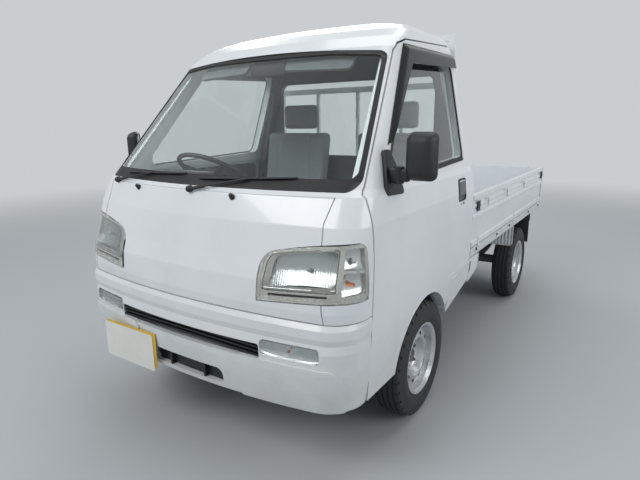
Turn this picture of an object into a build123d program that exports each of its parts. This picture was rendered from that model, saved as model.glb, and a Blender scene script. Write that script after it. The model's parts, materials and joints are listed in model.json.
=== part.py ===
"""Kei truck: a small cab-over pickup with a flat bed and drop sides.

Millimetres. The front faces -Y, +X is the truck's left side, and the origin is on the
ground at the middle of the truck's length and width.
"""
from build123d import *

import math
import os
from collections import namedtuple

os.makedirs("parts", exist_ok=True)

# Overall sizes
length = 3395.0
width = 1475.0
front_end = -1697.5
rear_end = front_end + length
half_width = width / 2

# Running gear
wheelbase = 1900.0
front_axle_y = -918.0
rear_axle_y = front_axle_y + wheelbase
track = 1305.0
tyre_radius = 267.0
tyre_width = 145.0
rim_radius = 152.0
kingpin_lean = 13.0
wheel_x = track / 2
axle_z = tyre_radius
kingpin_x = wheel_x - axle_z * math.tan(math.radians(kingpin_lean))
spindle_radius = 14.0
running_gap = 0.05

# Gaps
shut_gap = 6.0
panel_gap = 4.0

# Cab walls
door_wall = 48.0
cab_side_wall = 92.0
skin = 25.0
nose_wall = 92.0
back_wall = 36.0
roof_wall = 32.0
cab_rear = -322.0

# Cab floor: footwell, riser, seat platform and wheel housings
floor_top = 400.0
floor_thickness = 30.0
platform_top = 640.0
platform_front = -1225.0
housing_radius = 304.0
housing_wall = 9.0
housing_inner_x = 398.0
floor_half = half_width - door_wall - shut_gap - 22
firewall_y = front_end + 45.5

# A plan section at one height: how far the nose lies behind the front end on the centre line,
# how far the front sweeps back at the side, how far the side lies inside half the width, the
# front corner's radius and where the rear wall is.
Level = namedtuple("Level", "z setback sweep inset corner rear")
cab_levels = [
    Level(318, 47.5, 80, 21.5, 120, cab_rear),
    Level(560, 25.5, 75, 6.5, 130, cab_rear),
    Level(700, 13.5, 75, 2.5, 135, cab_rear),
    Level(790, 21.5, 80, 0.5, 135, cab_rear),
    Level(860, 42.5, 90, 0, 130, cab_rear),
    Level(980, 72.5, 100, 4.5, 120, cab_rear),
    Level(1076, 109.5, 112, 15.5, 110, cab_rear),
    Level(1100, 127.5, 120, 30.5, 105, cab_rear),
    Level(1620, 602.5, 66, 154.5, 72, cab_rear),
    Level(1668, 662.5, 70, 163.5, 95, cab_rear),
    Level(1712, 752.5, 75, 185.5, 110, cab_rear - 4),
    Level(1746, 847.5, 70, 232.5, 125, cab_rear - 12),
    Level(1770, 947.5, 50, 312.5, 130, cab_rear - 30),
    Level(1780, 1007.5, 30, 397.5, 110, cab_rear - 60),
]
roof_start = 1600.0
rear_corner = 18.0


def level_form(levels, side=0.0, front=0.0, back=0.0, top=0.0, heel=0.0):
    """Return a ruled loft through plan sections, with insets and rear corners of a radius."""
    with BuildPart() as form:
        for level in levels:
            half = half_width - level.inset - side
            nose = front_end + level.setback + front
            rear = level.rear - back
            corner = max(level.corner - side / 2, 20)
            # The front is one wide arc, and each corner arc is tangent to it and to the side
            bow = (half ** 2 + level.sweep ** 2) / (2 * level.sweep)
            bow_y = nose + bow
            corner_x = half - corner
            corner_y = bow_y - math.sqrt((bow - corner) ** 2 - corner_x ** 2)
            lean = math.atan2(corner_x, bow_y - corner_y)
            join = (bow * math.sin(lean), bow_y - bow * math.cos(lean))
            middle = (lean + math.pi / 2) / 2
            knee = (corner_x + corner * math.sin(middle), corner_y - corner * math.cos(middle))
            bend = heel * (1 - math.sqrt(0.5))
            with BuildSketch(Plane.XY.offset(level.z - (top if level.z > roof_start else 0.0))):
                with BuildLine():
                    for hand in (1, -1):
                        ThreePointArc((hand * join[0], join[1]), (hand * knee[0], knee[1]),
                                      (hand * half, corner_y))
                        Line((hand * half, corner_y), (hand * half, rear - heel))
                        if heel:
                            ThreePointArc((hand * half, rear - heel), (hand * (half - bend), rear - bend),
                                          (hand * (half - heel), rear))
                    Line((half - heel, rear), (heel - half, rear))
                    ThreePointArc((-join[0], join[1]), (0, nose), join)
                make_face()
        loft(ruled=True)
    return form.part


def cab_form(side=0.0, front=0.0, back=0.0, top=0.0):
    """Return the cab's outer form, or with insets the space inside its walls."""
    return level_form(cab_levels, side, front, back, top, rear_corner)


# How much deeper the shell's pillar lies than the door's frame, which swings back past it
pillar_room = 20.0

cab_outer = cab_form()
cab_core = cab_form(side=door_wall + shut_gap, front=skin + pillar_room)
door_core = cab_form(side=door_wall, front=skin)
cabin = cab_form(side=cab_side_wall, front=nose_wall, back=back_wall, top=roof_wall)

# Door outline in side view, clockwise from the lower front corner
door_front = -1455.0
door_rear = -336.0
door_bottom = 325.0
door_top = 1690.0
arch_y = -925.0
arch_z = 280.0
arch_radius = 300.0
arch_tip_y = -668.0
arch_tip_z = 402.0


def door_outline(grow=0.0):
    """Draw the door's side view, without the wheel arch, grown by a margin."""
    low_front = (door_front - grow, door_bottom - grow)
    belt_front = (door_front - grow, 1082 + grow / 2)
    pillar_foot = (-1428 - 1.1 * grow, 1106 + grow / 2)
    pillar_top = (-1011 - 1.1 * grow, 1603 + grow / 2)
    pillar_turn = (-967 - grow, 1632 + grow)
    roof_front = (-890 - grow, 1655 + grow)
    # The rear edge's top swings back as the door opens, so its gap is wider there
    roof_rear = (door_rear + 1.7 * grow, door_top + grow)
    low_rear = (door_rear + grow, 492 - grow)
    tip = (arch_tip_y + grow / 2, arch_tip_z - grow)
    arch_foot = (arch_tip_y + grow / 2, door_bottom - grow)
    with BuildLine() as line:
        Polyline(low_front, belt_front, pillar_foot, pillar_top, pillar_turn, roof_front,
                 roof_rear, low_rear, tip, arch_foot, close=True)
    return line.line


def arch_disc(grow=0.0):
    """Return the wheel arch as a disc across the truck, on the left side."""
    with BuildPart() as disc:
        with BuildSketch(Plane.YZ.offset(600)):
            with Locations((arch_y, arch_z)):
                Circle(arch_radius + grow)
            with BuildLine():
                Polyline((arch_y, arch_z), (arch_y + arch_radius + grow - 12, 470),
                         (arch_tip_y + grow, arch_tip_z), (arch_tip_y + grow, 200),
                         (arch_y - arch_radius - grow, 200), (arch_y - arch_radius - grow, arch_z),
                         close=True)
            make_face()
        extrude(amount=200)
    return disc.part


def side_prism(line, x_from=440.0, x_to=800.0):
    """Return a side-view outline extruded across the truck's left side."""
    with BuildPart() as prism:
        with BuildSketch(Plane.YZ.offset(x_from)):
            add(line)
            make_face()
        extrude(amount=x_to - x_from)
    return prism.part


# Door window, in side view
window_corners = [(-1300, 1110), (-930, 1590), (-378, 1604), (-440, 1150)]
window_radius = 42.0
glass_thickness = 5.0
glass_depth = 16.0
glass_groove = 10.0


def window_prism(grow=0.0):
    """Return the door window's outline, extruded across the left side."""
    with BuildPart() as prism:
        with BuildSketch(Plane.YZ.offset(440)) as outline:
            with BuildLine():
                Polyline(*window_corners, close=True)
            make_face()
            fillet(outline.vertices(), window_radius)
            if grow:
                offset(amount=grow)
        extrude(amount=360)
    return prism.part


handle_y = -520.0
handle_z = 1000.0
handle_size = (100.0, 105.0)
handle_depth = 16.0

glass_outer = cab_form(side=glass_depth, front=4)
glass_inner = cab_form(side=glass_depth + glass_thickness, front=4 + glass_thickness * 1.5)

with BuildPart() as door_glass_left:
    add(glass_outer)
    add(glass_inner, mode=Mode.SUBTRACT)
    add(window_prism(glass_groove), mode=Mode.INTERSECT)

with BuildPart() as door_left:
    add(cab_outer)
    add(door_core, mode=Mode.SUBTRACT)
    add(side_prism(door_outline()), mode=Mode.INTERSECT)
    add(arch_disc(), mode=Mode.SUBTRACT)
    add(window_prism(), mode=Mode.SUBTRACT)
    add(door_glass_left.part, mode=Mode.SUBTRACT)
    with BuildSketch(Plane.YZ.offset(half_width - handle_depth)) as recess:
        with Locations((handle_y, handle_z)):
            RectangleRounded(*handle_size, 14)
    extrude(amount=60, mode=Mode.SUBTRACT)
    with BuildSketch(Plane.YZ.offset(half_width - handle_depth - 2)):
        with Locations((handle_y, handle_z + 12)):
            RectangleRounded(handle_size[0] - 14, handle_size[1] - 40, 10)
    extrude(amount=10)

# Cab shell: roof, pillars, door apertures, back wall and the wall behind the nose
cab_sill_z = 400.0
aperture_inset = 62.0
windshield_corners = [(half_width - 57.5, 1091), (half_width - 167.5, 1598)]
windshield_crown = 1622.0
windshield_radius = 40.0
gasket_width = 36.0
rear_window_size = (1010.0, 420.0)
rear_window_z = 1345.0


def windshield_prism(shrink=0.0):
    """Return the windshield's front view, extruded back from ahead of the nose."""
    foot_x, foot_z = windshield_corners[0]
    head_x, head_z = windshield_corners[1]
    with BuildPart() as prism:
        with BuildSketch(Plane.XZ.offset(900)) as outline:
            with BuildLine():
                Polyline((-head_x, head_z), (-foot_x, foot_z), (foot_x, foot_z), (head_x, head_z))
                ThreePointArc((head_x, head_z), (0, windshield_crown), (-head_x, head_z))
            make_face()
            fillet(outline.vertices(), windshield_radius)
            if shrink:
                offset(amount=-shrink)
        extrude(amount=800)
    return prism.part


windshield_opening = windshield_prism()
gasket_depth = 13.0
gasket_core = cab_form(front=gasket_depth)

with BuildPart() as windshield:
    add(glass_outer)
    add(glass_inner, mode=Mode.SUBTRACT)
    add(windshield_prism(gasket_width - glass_groove), mode=Mode.INTERSECT)

with BuildPart() as windshield_gasket:
    add(cab_outer)
    add(gasket_core, mode=Mode.SUBTRACT)
    add(windshield_opening, mode=Mode.INTERSECT)
    add(windshield_prism(gasket_width), mode=Mode.SUBTRACT)
    add(windshield.part, mode=Mode.SUBTRACT)

# Front panel, corner panels and lamps, in front view
bumper_top = 662.0
front_panel_top = 1076.0
panel_line = [(half_width - inset, z) for inset, z in
              ((122.5, 1100), (144.5, 995), (138.5, 922), (102.5, bumper_top + panel_gap))]
lamp_inner_x = half_width - 359.5
lamp_outer_x = half_width + 10
lamp_foot_z = 716.0
lamp_rear_y = -1494.0
lamp_low_z = 737.0
lamp_high_z = 932.0
lamp_corner = 30.0
lamp_depth = 62.0
lamp_gap = 3.0


def nose_zone(half_x_points, y_back=-1461.0):
    """Return a front-view outline extruded forward from a plane behind the nose."""
    with BuildPart() as zone:
        with BuildSketch(Plane.XZ.offset(-y_back)):
            with BuildLine():
                Polyline(*half_x_points, close=True)
            make_face()
        extrude(amount=300)
    return zone.part


def lamp_zone(grow=0.0):
    """Return the left headlamp's space: its front outline by its side outline, grown by a gap."""
    with BuildPart() as zone:
        with BuildSketch(Plane.XZ.offset(-lamp_rear_y - grow)):
            with BuildLine():
                # The inner edge rises straight and rolls over into the long top edge
                edge = Line((lamp_inner_x, lamp_foot_z), (lamp_inner_x + 1, lamp_foot_z + 106))
                roll = ThreePointArc(edge @ 1, (lamp_inner_x + 18, lamp_foot_z + 152),
                                     (lamp_inner_x + 62, lamp_foot_z + 177))
                brow = ThreePointArc(roll @ 1, (half_width - 166, lamp_high_z - 15), (lamp_outer_x, lamp_high_z))
                Polyline(brow @ 1, (lamp_outer_x, lamp_low_z), (half_width - 60, lamp_low_z), edge @ 0)
            make_face()
            if grow:
                offset(amount=grow)
        extrude(amount=260)
        with BuildSketch(Plane.YZ.offset(lamp_inner_x - 20)) as side_view:
            with BuildLine():
                Polyline((-1800, lamp_foot_z - 40), (-1800, lamp_high_z), (lamp_rear_y, lamp_high_z),
                         (lamp_rear_y, lamp_low_z), (-1560, lamp_low_z), (-1600, lamp_foot_z - 40), close=True)
            make_face()
            fillet(side_view.vertices().group_by(Axis.Y)[-1], lamp_corner)
            if grow:
                offset(amount=grow)
        extrude(amount=lamp_outer_x - lamp_inner_x + 40, mode=Mode.INTERSECT)
    return zone.part


front_skin_zone = nose_zone([(-800, bumper_top + panel_gap), (800, bumper_top + panel_gap),
                             (800, front_panel_top), (-800, front_panel_top)])
nose_back = door_front - shut_gap

with BuildPart() as front_skin:
    add(cab_outer)
    add(cab_form(side=skin, front=skin), mode=Mode.SUBTRACT)
    add(front_skin_zone, mode=Mode.INTERSECT)
    with BuildSketch(Plane.XY.offset(300)):
        with Locations((0, nose_back)):
            Rectangle(1600, 800, align=(Align.CENTER, Align.MIN))
    extrude(amount=1000, mode=Mode.SUBTRACT)

with BuildPart() as headlamp_left:
    add(cab_outer)
    add(cab_form(side=lamp_depth / 2, front=lamp_depth), mode=Mode.SUBTRACT)
    add(lamp_zone(), mode=Mode.INTERSECT)

with BuildPart() as headlamps:
    add(headlamp_left.part)
    mirror(headlamp_left.part, about=Plane.YZ)

lamp_pocket_left = lamp_zone(lamp_gap)
panel_half = panel_line + [(0, bumper_top + panel_gap), (0, 1100)]
panel_half_outer = [(x + panel_gap, z) for x, z in panel_line] + [(800, bumper_top), (800, 1100)]

with BuildPart() as front_panel:
    add(front_skin.part)
    with BuildPart(mode=Mode.PRIVATE) as zone_left:
        add(nose_zone(panel_half))
        mirror(zone_left.part, about=Plane.YZ)
    add(zone_left.part, mode=Mode.INTERSECT)
    add(lamp_pocket_left, mode=Mode.SUBTRACT)
    add(lamp_pocket_left.mirror(Plane.YZ), mode=Mode.SUBTRACT)

with BuildPart() as corner_panel_left:
    add(front_skin.part)
    add(nose_zone(panel_half_outer), mode=Mode.INTERSECT)
    add(lamp_pocket_left, mode=Mode.SUBTRACT)

with BuildPart() as corner_panels:
    add(corner_panel_left.part)
    mirror(corner_panel_left.part, about=Plane.YZ)

with BuildPart() as cab_shell:
    add(cab_outer)
    add(cabin, mode=Mode.SUBTRACT)
    # The nose skin and the bumper lie on the wall that is left here
    with BuildPart(mode=Mode.PRIVATE) as nose_layer:
        add(cab_outer)
        add(cab_form(side=skin, front=skin), mode=Mode.SUBTRACT)
        with BuildSketch(Plane.XZ.offset(-nose_back)):
            with Locations((0, 300)):
                Rectangle(1600, front_panel_top - 300, align=(Align.CENTER, Align.MIN))
        extrude(amount=400, mode=Mode.INTERSECT)
    add(nose_layer.part, mode=Mode.SUBTRACT)
    # Door openings: a recess for the door, then the aperture through the wall
    with BuildPart(mode=Mode.PRIVATE) as door_layer:
        add(cab_outer)
        add(cab_core, mode=Mode.SUBTRACT)
        with BuildSketch(Plane.YZ.offset(300)):
            add(door_outline(shut_gap))
            make_face()
        extrude(amount=520, mode=Mode.INTERSECT)
        mirror(door_layer.part, about=Plane.YZ)
    add(door_layer.part, mode=Mode.SUBTRACT)
    with BuildPart(mode=Mode.PRIVATE) as aperture:
        with BuildSketch(Plane.YZ.offset(300)):
            with BuildLine():
                Polyline((door_front + aperture_inset, 300), (door_front + aperture_inset, 1090),
                         (-1400, 1110), (-1000, 1560), (-890, 1625), (-400, 1655), (-400, 660),
                         (-620, 650), (-1205, 650), (-1205, 300), close=True)
            make_face()
        extrude(amount=500)
        mirror(aperture.part, about=Plane.YZ)
    add(aperture.part, mode=Mode.SUBTRACT)
    add(windshield_opening, mode=Mode.SUBTRACT)
    add(lamp_pocket_left, mode=Mode.SUBTRACT)
    add(lamp_pocket_left.mirror(Plane.YZ), mode=Mode.SUBTRACT)
    with BuildSketch(Plane.XZ.offset(100)) as rear_window_cut:
        with Locations((0, rear_window_z)):
            RectangleRounded(*rear_window_size, 50)
    extrude(amount=500, mode=Mode.SUBTRACT)
    with BuildSketch(Plane.XY.offset(200)):
        Rectangle(1600, 4000)
    extrude(amount=cab_sill_z - 200, mode=Mode.SUBTRACT)
    # The floor piece fills the lower cab, so the shell ends above the seat platform
    with Locations((0, -760, 300)):
        Box(2 * (floor_half + 3), 2 * 445, 700 - 300 - 32,
            align=(Align.CENTER, Align.CENTER, Align.MIN), mode=Mode.SUBTRACT)
    with Locations((0, front_axle_y, axle_z)):
        Cylinder(housing_radius + 4, 2 * width, rotation=(0, 90, 0), mode=Mode.SUBTRACT)

with BuildPart() as rear_window:
    with BuildSketch(Plane.XZ.offset(-(cab_rear - 14))):
        with Locations((0, rear_window_z)):
            RectangleRounded(*rear_window_size, 50)
    extrude(amount=6)


with BuildPart() as door_right:
    mirror(door_left.part, about=Plane.YZ)

with BuildPart() as door_glass_right:
    mirror(door_glass_left.part, about=Plane.YZ)

# Bumper, in levels like the cab's
bumper_rear = -1380.0
bumper_levels = [
    Level(298, 57.5, 86, 43.5, 150, bumper_rear),
    Level(322, 25.5, 84, 27.5, 150, bumper_rear),
    Level(410, 9.5, 80, 13.5, 145, bumper_rear),
    Level(468, 3.5, 78, 7.5, 142, bumper_rear),
    Level(560, 0, 76, 4.5, 140, bumper_rear),
    Level(590, 7, 76, 5.5, 140, bumper_rear),
    Level(612, 1, 76, 2.5, 138, bumper_rear),
    Level(644, 2, 76, 1.5, 138, bumper_rear),
    Level(bumper_top, 12, 78, 4.5, 138, bumper_rear),
]
bumper_wall = 22.0
grille_slot = (-390.0, 390.0, 494.0, 556.0)
lower_slot = (-205.0, 205.0, 342.0, 410.0)
indicator_size = (half_width - 343.5, half_width - 109.5, 518.0, 578.0)
indicator_depth = 26.0


def front_window(x_low, x_high, z_low, z_high, corner, y_back=-1300.0):
    """Return a rounded block that cuts an opening through the front, seen from ahead."""
    with BuildPart() as cutter:
        with BuildSketch(Plane.XZ.offset(-y_back)):
            with Locations(((x_low + x_high) / 2, (z_low + z_high) / 2)):
                RectangleRounded(x_high - x_low, z_high - z_low, corner)
        extrude(amount=500)
    return cutter.part


bumper_outer = level_form(bumper_levels)
bumper_core = level_form(bumper_levels, side=bumper_wall, front=bumper_wall)
indicator_cut = front_window(*indicator_size, 16, -1580)
cab_front_block = cab_form(side=skin, front=skin)

with BuildPart() as front_bumper:
    add(bumper_outer)
    with BuildPart(mode=Mode.PRIVATE) as hollow:
        add(bumper_core)
        with Locations((0, -1400, bumper_top - bumper_wall)):
            Box(1600, 800, 200, align=(Align.CENTER, Align.CENTER, Align.MIN), mode=Mode.SUBTRACT)
    add(hollow.part, mode=Mode.SUBTRACT)
    add(cab_front_block, mode=Mode.SUBTRACT)
    with Locations((0, nose_back, 200)):
        Box(1700, 400, 700, align=(Align.CENTER, Align.MIN, Align.MIN), mode=Mode.SUBTRACT)
    add(front_window(*grille_slot, 10, -1560), mode=Mode.SUBTRACT)
    add(front_window(*lower_slot, 28, -1560), mode=Mode.SUBTRACT)
    add(indicator_cut, mode=Mode.SUBTRACT)
    add(indicator_cut.mirror(Plane.YZ), mode=Mode.SUBTRACT)

with BuildPart() as indicator_left:
    add(bumper_outer)
    add(level_form(bumper_levels, side=indicator_depth, front=indicator_depth), mode=Mode.SUBTRACT)
    add(front_window(indicator_size[0] + 2, indicator_size[1] - 2, indicator_size[2] + 2,
                     indicator_size[3] - 2, 15, -1580), mode=Mode.INTERSECT)

with BuildPart() as indicators:
    add(indicator_left.part)
    mirror(indicator_left.part, about=Plane.YZ)

grille_bars = 3
grille_bar = (6.0, 18.0)
grille_back = front_end + 46.5
lower_grille_back = front_end + 48.5
with BuildPart() as bumper_grille:
    with Locations((0, grille_back, (grille_slot[2] + grille_slot[3]) / 2)):
        Box(grille_slot[1] - grille_slot[0] - 2, 6, grille_slot[3] - grille_slot[2] - 2)
    for row in range(grille_bars):
        height = grille_slot[2] + (row + 1) * (grille_slot[3] - grille_slot[2]) / (grille_bars + 1)
        with Locations((0, grille_back - 12, height)):
            Box(grille_slot[1] - grille_slot[0] - 2, grille_bar[1], grille_bar[0])
    with Locations((0, lower_grille_back, (lower_slot[2] + lower_slot[3]) / 2)):
        Box(lower_slot[1] - lower_slot[0] - 30, 6, lower_slot[3] - lower_slot[2] - 2)
    with Locations((-98, lower_grille_back - 12, 376), (98, lower_grille_back - 12, 376)):
        Box(10, 20, lower_slot[3] - lower_slot[2] - 2)
    add(front_bumper.part, mode=Mode.SUBTRACT)

with BuildPart() as cab_floor:
    with BuildSketch(Plane.YZ.offset(-floor_half)):
        with BuildLine():
            Polyline((firewall_y, floor_top - floor_thickness), (platform_front, floor_top - floor_thickness),
                     (platform_front, platform_top - floor_thickness - 6),
                     (cab_rear, platform_top - floor_thickness - 6), (cab_rear, platform_top),
                     (platform_front - floor_thickness, platform_top),
                     (platform_front - floor_thickness, floor_top), (firewall_y, floor_top), close=True)
        make_face()
    extrude(amount=2 * floor_half)
    add(cab_form(side=half_width - floor_half, front=skin), mode=Mode.INTERSECT)
    for hand in (1, -1):
        with BuildSketch(Plane.YZ.offset(hand * housing_inner_x)) as arch:
            with Locations((front_axle_y, axle_z)):
                Circle(housing_radius + housing_wall)
            with Locations((front_axle_y, 0)):
                Rectangle(1000, 2 * 330, mode=Mode.SUBTRACT)
        extrude(amount=hand * (floor_half - housing_inner_x))
        with BuildSketch(Plane.YZ.offset(hand * (housing_inner_x + housing_wall))):
            with Locations((front_axle_y, axle_z)):
                Circle(housing_radius)
        extrude(amount=hand * 400, mode=Mode.SUBTRACT)

# Chassis
rail_x = 350.0
rail_width = 50.0
rail_height = 90.0
rail_z = 490.0
front_rail_z = 325.0
rail_front = front_end + 107.5
rail_back = rear_end - 42.5
rail_outline = [(rail_front, front_rail_z - 45), (-1175, front_rail_z - 45), (-1020, rail_z - 45),
                (rail_back, rail_z - 45), (rail_back, rail_z + 45), (-1055, rail_z + 45),
                (-1215, front_rail_z + 45), (rail_front, front_rail_z + 45)]
cross_members = [rail_front + 90, -110.0, 250.0, 700.0, rear_axle_y + 278, rail_back - 35]

with BuildPart() as ladder_frame:
    for hand in (1, -1):
        with BuildSketch(Plane.YZ.offset(hand * rail_x - rail_width / 2)):
            with BuildLine():
                Polyline(*rail_outline, close=True)
            make_face()
        extrude(amount=rail_width)
    for y_place in cross_members:
        height = 325.0 if y_place < -1200 else rail_z
        with Locations((0, y_place, height)):
            Box(2 * rail_x, 50, 60)

# Bed: a deck between the drop sides, on sills that carry the gates' hinges
hinge_radius = 5.0
hinge_pin = 2.5
hinge_offset = 6.0
bed_front = -300.0
bed_back = rear_end - 11.0
bed_top = 655.0
bed_sheet = 22.0
bed_half = half_width - 11.0
deck_step = 4.0
gate_height = 284.0
gate_thickness = 26.0
gate_gap = 6.0
hinge_z = bed_top - deck_step
gate_foot_z = hinge_z + gate_gap
gate_side_gap = 8.0
sill_depth = 52.0
sill_width = 26.0
rib_count = 9
headboard_y = bed_front + 5
headboard_thickness = 20.0
post_depth = 26.0
deck_front = headboard_y + headboard_thickness + post_depth + 1
deck_back = bed_back - gate_thickness - 3
deck_half = bed_half - gate_thickness - 3
leaf_thickness = 3.0
leaf_height = 46.0
leaf_gap = 1.0
knuckle_width = 14.0
side_hinges = 3
tail_hinges = 3

with BuildPart() as bed_floor:
    middle_y = (bed_front + bed_back) / 2
    with Locations((0, middle_y, bed_top - bed_sheet)):
        Box(2 * bed_half, bed_back - bed_front, bed_sheet - deck_step,
            align=(Align.CENTER, Align.CENTER, Align.MIN))
    with Locations((0, (deck_front + deck_back) / 2, bed_top - deck_step)):
        Box(2 * deck_half, deck_back - deck_front, deck_step, align=(Align.CENTER, Align.CENTER, Align.MIN))
    for hand in (1, -1):
        with Locations((hand * (bed_half - sill_width / 2), middle_y, bed_top - sill_depth)):
            Box(sill_width, bed_back - bed_front, sill_depth - deck_step,
                align=(Align.CENTER, Align.CENTER, Align.MIN))
    with Locations((0, bed_front + sill_width / 2, bed_top - sill_depth),
                   (0, bed_back - sill_width / 2, bed_top - sill_depth)):
        Box(2 * bed_half, sill_width, sill_depth - deck_step, align=(Align.CENTER, Align.CENTER, Align.MIN))
    for row in range(rib_count):
        y_place = bed_front + (row + 0.5) * (bed_back - bed_front) / rib_count
        with Locations((0, y_place, bed_top - bed_sheet - 20)):
            Box(2 * bed_half - 40, 44, 20, align=(Align.CENTER, Align.CENTER, Align.MIN))
    with Locations(*[(hand * rail_x, middle_y, rail_z + rail_height / 2) for hand in (1, -1)]):
        Box(rail_width, bed_back - bed_front - 60, bed_top - bed_sheet - rail_z - rail_height / 2,
            align=(Align.CENTER, Align.CENTER, Align.MIN))


def hinge_places(length_along, count):
    """Return how far each hinge's middle is from a gate's middle."""
    span = length_along - 240
    return [(index / (count - 1) - 0.5) * span for index in range(count)]


def bed_leaves(length_along, count):
    """Return the bed's half of a gate's hinges, along X with the gate's outer face at y 0."""
    with BuildPart() as leaves:
        for x in hinge_places(length_along, count):
            for end in (-1, 1):
                with Locations((x + end * (knuckle_width + 0.5), -hinge_offset, 0)):
                    Cylinder(hinge_radius, knuckle_width, rotation=(0, 90, 0))
                    Box(knuckle_width, hinge_offset, leaf_thickness,
                        align=(Align.CENTER, Align.MIN, Align.MAX))
                with Locations((x + end * (knuckle_width + 0.5), 0, 0)):
                    Box(knuckle_width, leaf_thickness, leaf_height, align=(Align.CENTER, Align.MAX, Align.MAX))
            with Locations((x, -hinge_offset, 0)):
                Cylinder(hinge_pin, 3 * knuckle_width, rotation=(0, 90, 0))
    return leaves.part


def gate_panel(length_along, hinge_count):
    """Return a drop side along X: its outer face towards -Y, its hinges' axis below that face at z 0.

    The outer face has the pressed steps of a rolled panel: a top tube, a groove under it, a
    ribbed band and a wide flat field.
    """
    foot = gate_foot_z - hinge_z
    top = foot + gate_height
    with BuildPart() as panel:
        with BuildSketch(Plane.YZ.offset(-length_along / 2)):
            with BuildLine():
                Polyline((0, foot), (gate_thickness, foot), (gate_thickness, top), (0, top), (0, top - 26),
                         (7, top - 32), (7, top - 50), (2, top - 56), (2, top - 68), (6, top - 72),
                         (6, top - 80), (2, top - 84), (2, top - 96), (6, top - 100), (6, top - 108),
                         (0, top - 116), (0, top - 132), (7, top - 140), (7, foot + 34), (0, foot + 26),
                         close=True)
            make_face()
        extrude(amount=length_along)
        for x in hinge_places(length_along, hinge_count):
            with Locations((x, -hinge_offset, 0)):
                Cylinder(hinge_radius, knuckle_width, rotation=(0, 90, 0))
            with Locations((x, -hinge_offset, leaf_gap)):
                Box(knuckle_width, hinge_offset, leaf_thickness, align=(Align.CENTER, Align.MIN, Align.MIN))
            with Locations((x, 0, leaf_gap)):
                Box(knuckle_width, leaf_thickness, leaf_height, align=(Align.CENTER, Align.MAX, Align.MIN))
            with Locations((x, -hinge_offset, 0)):
                Cylinder(hinge_pin + running_gap, length_along / 2, rotation=(0, 90, 0), mode=Mode.SUBTRACT)
    return panel.part


gate_length = bed_back - gate_thickness - gate_side_gap - bed_front - 5
gate_middle_y = bed_front + 5 + gate_length / 2
tail_length = 2 * bed_half
side_pose = Location((bed_half, gate_middle_y, hinge_z), (0, 0, 90))
tail_pose = Location((0, bed_back, hinge_z), (0, 0, 180))

with BuildPart() as gate_left:
    with Locations(side_pose):
        add(gate_panel(gate_length, side_hinges))

with BuildPart() as gate_right:
    mirror(gate_left.part, about=Plane.YZ)

with BuildPart() as tailgate:
    with Locations(tail_pose):
        add(gate_panel(tail_length, tail_hinges))

with BuildPart() as bed_hinges:
    with BuildPart(mode=Mode.PRIVATE) as side_leaves:
        with Locations(side_pose):
            add(bed_leaves(gate_length, side_hinges))
    add(side_leaves.part)
    mirror(side_leaves.part, about=Plane.YZ)
    with Locations(tail_pose):
        add(bed_leaves(tail_length, tail_hinges))

guard_top = 1762.0
guard_mid = 1497.0
guard_x = half_width - 177.5
guard_tube = 32.0
headboard_foot = bed_top - deck_step

with BuildPart() as headboard:
    with Locations((0, headboard_y, headboard_foot)):
        Box(2 * (bed_half - gate_thickness - 5), headboard_thickness, gate_height + gate_gap,
            align=(Align.CENTER, Align.MIN, Align.MIN))
    post_y = headboard_y + headboard_thickness - 2
    with Locations(*[(hand * guard_x, post_y, headboard_foot) for hand in (1, -1)]):
        Box(guard_tube, post_depth, guard_top - headboard_foot, align=(Align.CENTER, Align.MIN, Align.MIN))
    with Locations((0, post_y, guard_top - guard_tube), (0, post_y, guard_mid)):
        Box(2 * guard_x, post_depth, guard_tube, align=(Align.CENTER, Align.MIN, Align.MIN))
    with Locations(*[(x, post_y + 4, gate_foot_z + gate_height - 20) for x in (-guard_x / 2, 0, guard_x / 2)]):
        Box(18, 18, guard_mid - gate_foot_z - gate_height + 30, align=(Align.CENTER, Align.MIN, Align.MIN))

# Wheels, on the left; profiles run outwards from the wheel's middle plane
rim_profile = [(-62, 166), (-57, 166), (-53, rim_radius), (53, rim_radius), (57, 166), (62, 166),
               (62, 161), (57, 147), (22, 147), (33, 122), (37, 96), (30, 86), (6, 76), (-4, 68),
               (-4, 34), (-9, 34), (-9, 70), (2, 80), (26, 90), (32, 98), (28, 120), (15, 147),
               (-57, 147), (-62, 161)]
hub_outer = 32.0
hub_nose = 14.0
vent_count = 10
vent_radius = 8.0
vent_circle = 109.0
bolt_circle = 100.0


def wheel_plane(hand, y_place):
    """Return the plane at a wheel's centre whose normal points away from the truck."""
    return Plane(origin=(hand * wheel_x, y_place, axle_z), x_dir=(0, 1, 0), z_dir=(hand, 0, 0))


def wheel_rim(hand, y_place):
    """Return a pressed steel wheel with its hub."""
    centre = (hand * wheel_x, y_place, axle_z)
    with BuildPart() as rim:
        with BuildSketch(Plane(origin=centre, x_dir=(hand, 0, 0), z_dir=(0, 0, hand))):
            with BuildLine():
                Polyline(*rim_profile, close=True)
            make_face()
        revolve(axis=Axis(centre, (1, 0, 0)))
        with BuildSketch(wheel_plane(hand, y_place).offset(-9)):
            with PolarLocations(vent_circle, vent_count):
                Circle(vent_radius)
        extrude(amount=60, mode=Mode.SUBTRACT)
        with BuildSketch(wheel_plane(hand, y_place).offset(-12)):
            Circle(36)
        extrude(amount=12 + hub_nose)
        with BuildSketch(wheel_plane(hand, y_place).offset(-60)):
            Circle(spindle_radius + running_gap)
        extrude(amount=72, mode=Mode.SUBTRACT)
        with BuildSketch(wheel_plane(hand, y_place).offset(-9)):
            with PolarLocations(bolt_circle / 2, 4, start_angle=45):
                RegularPolygon(10, 6)
        extrude(amount=17)
    return rim.part


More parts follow.
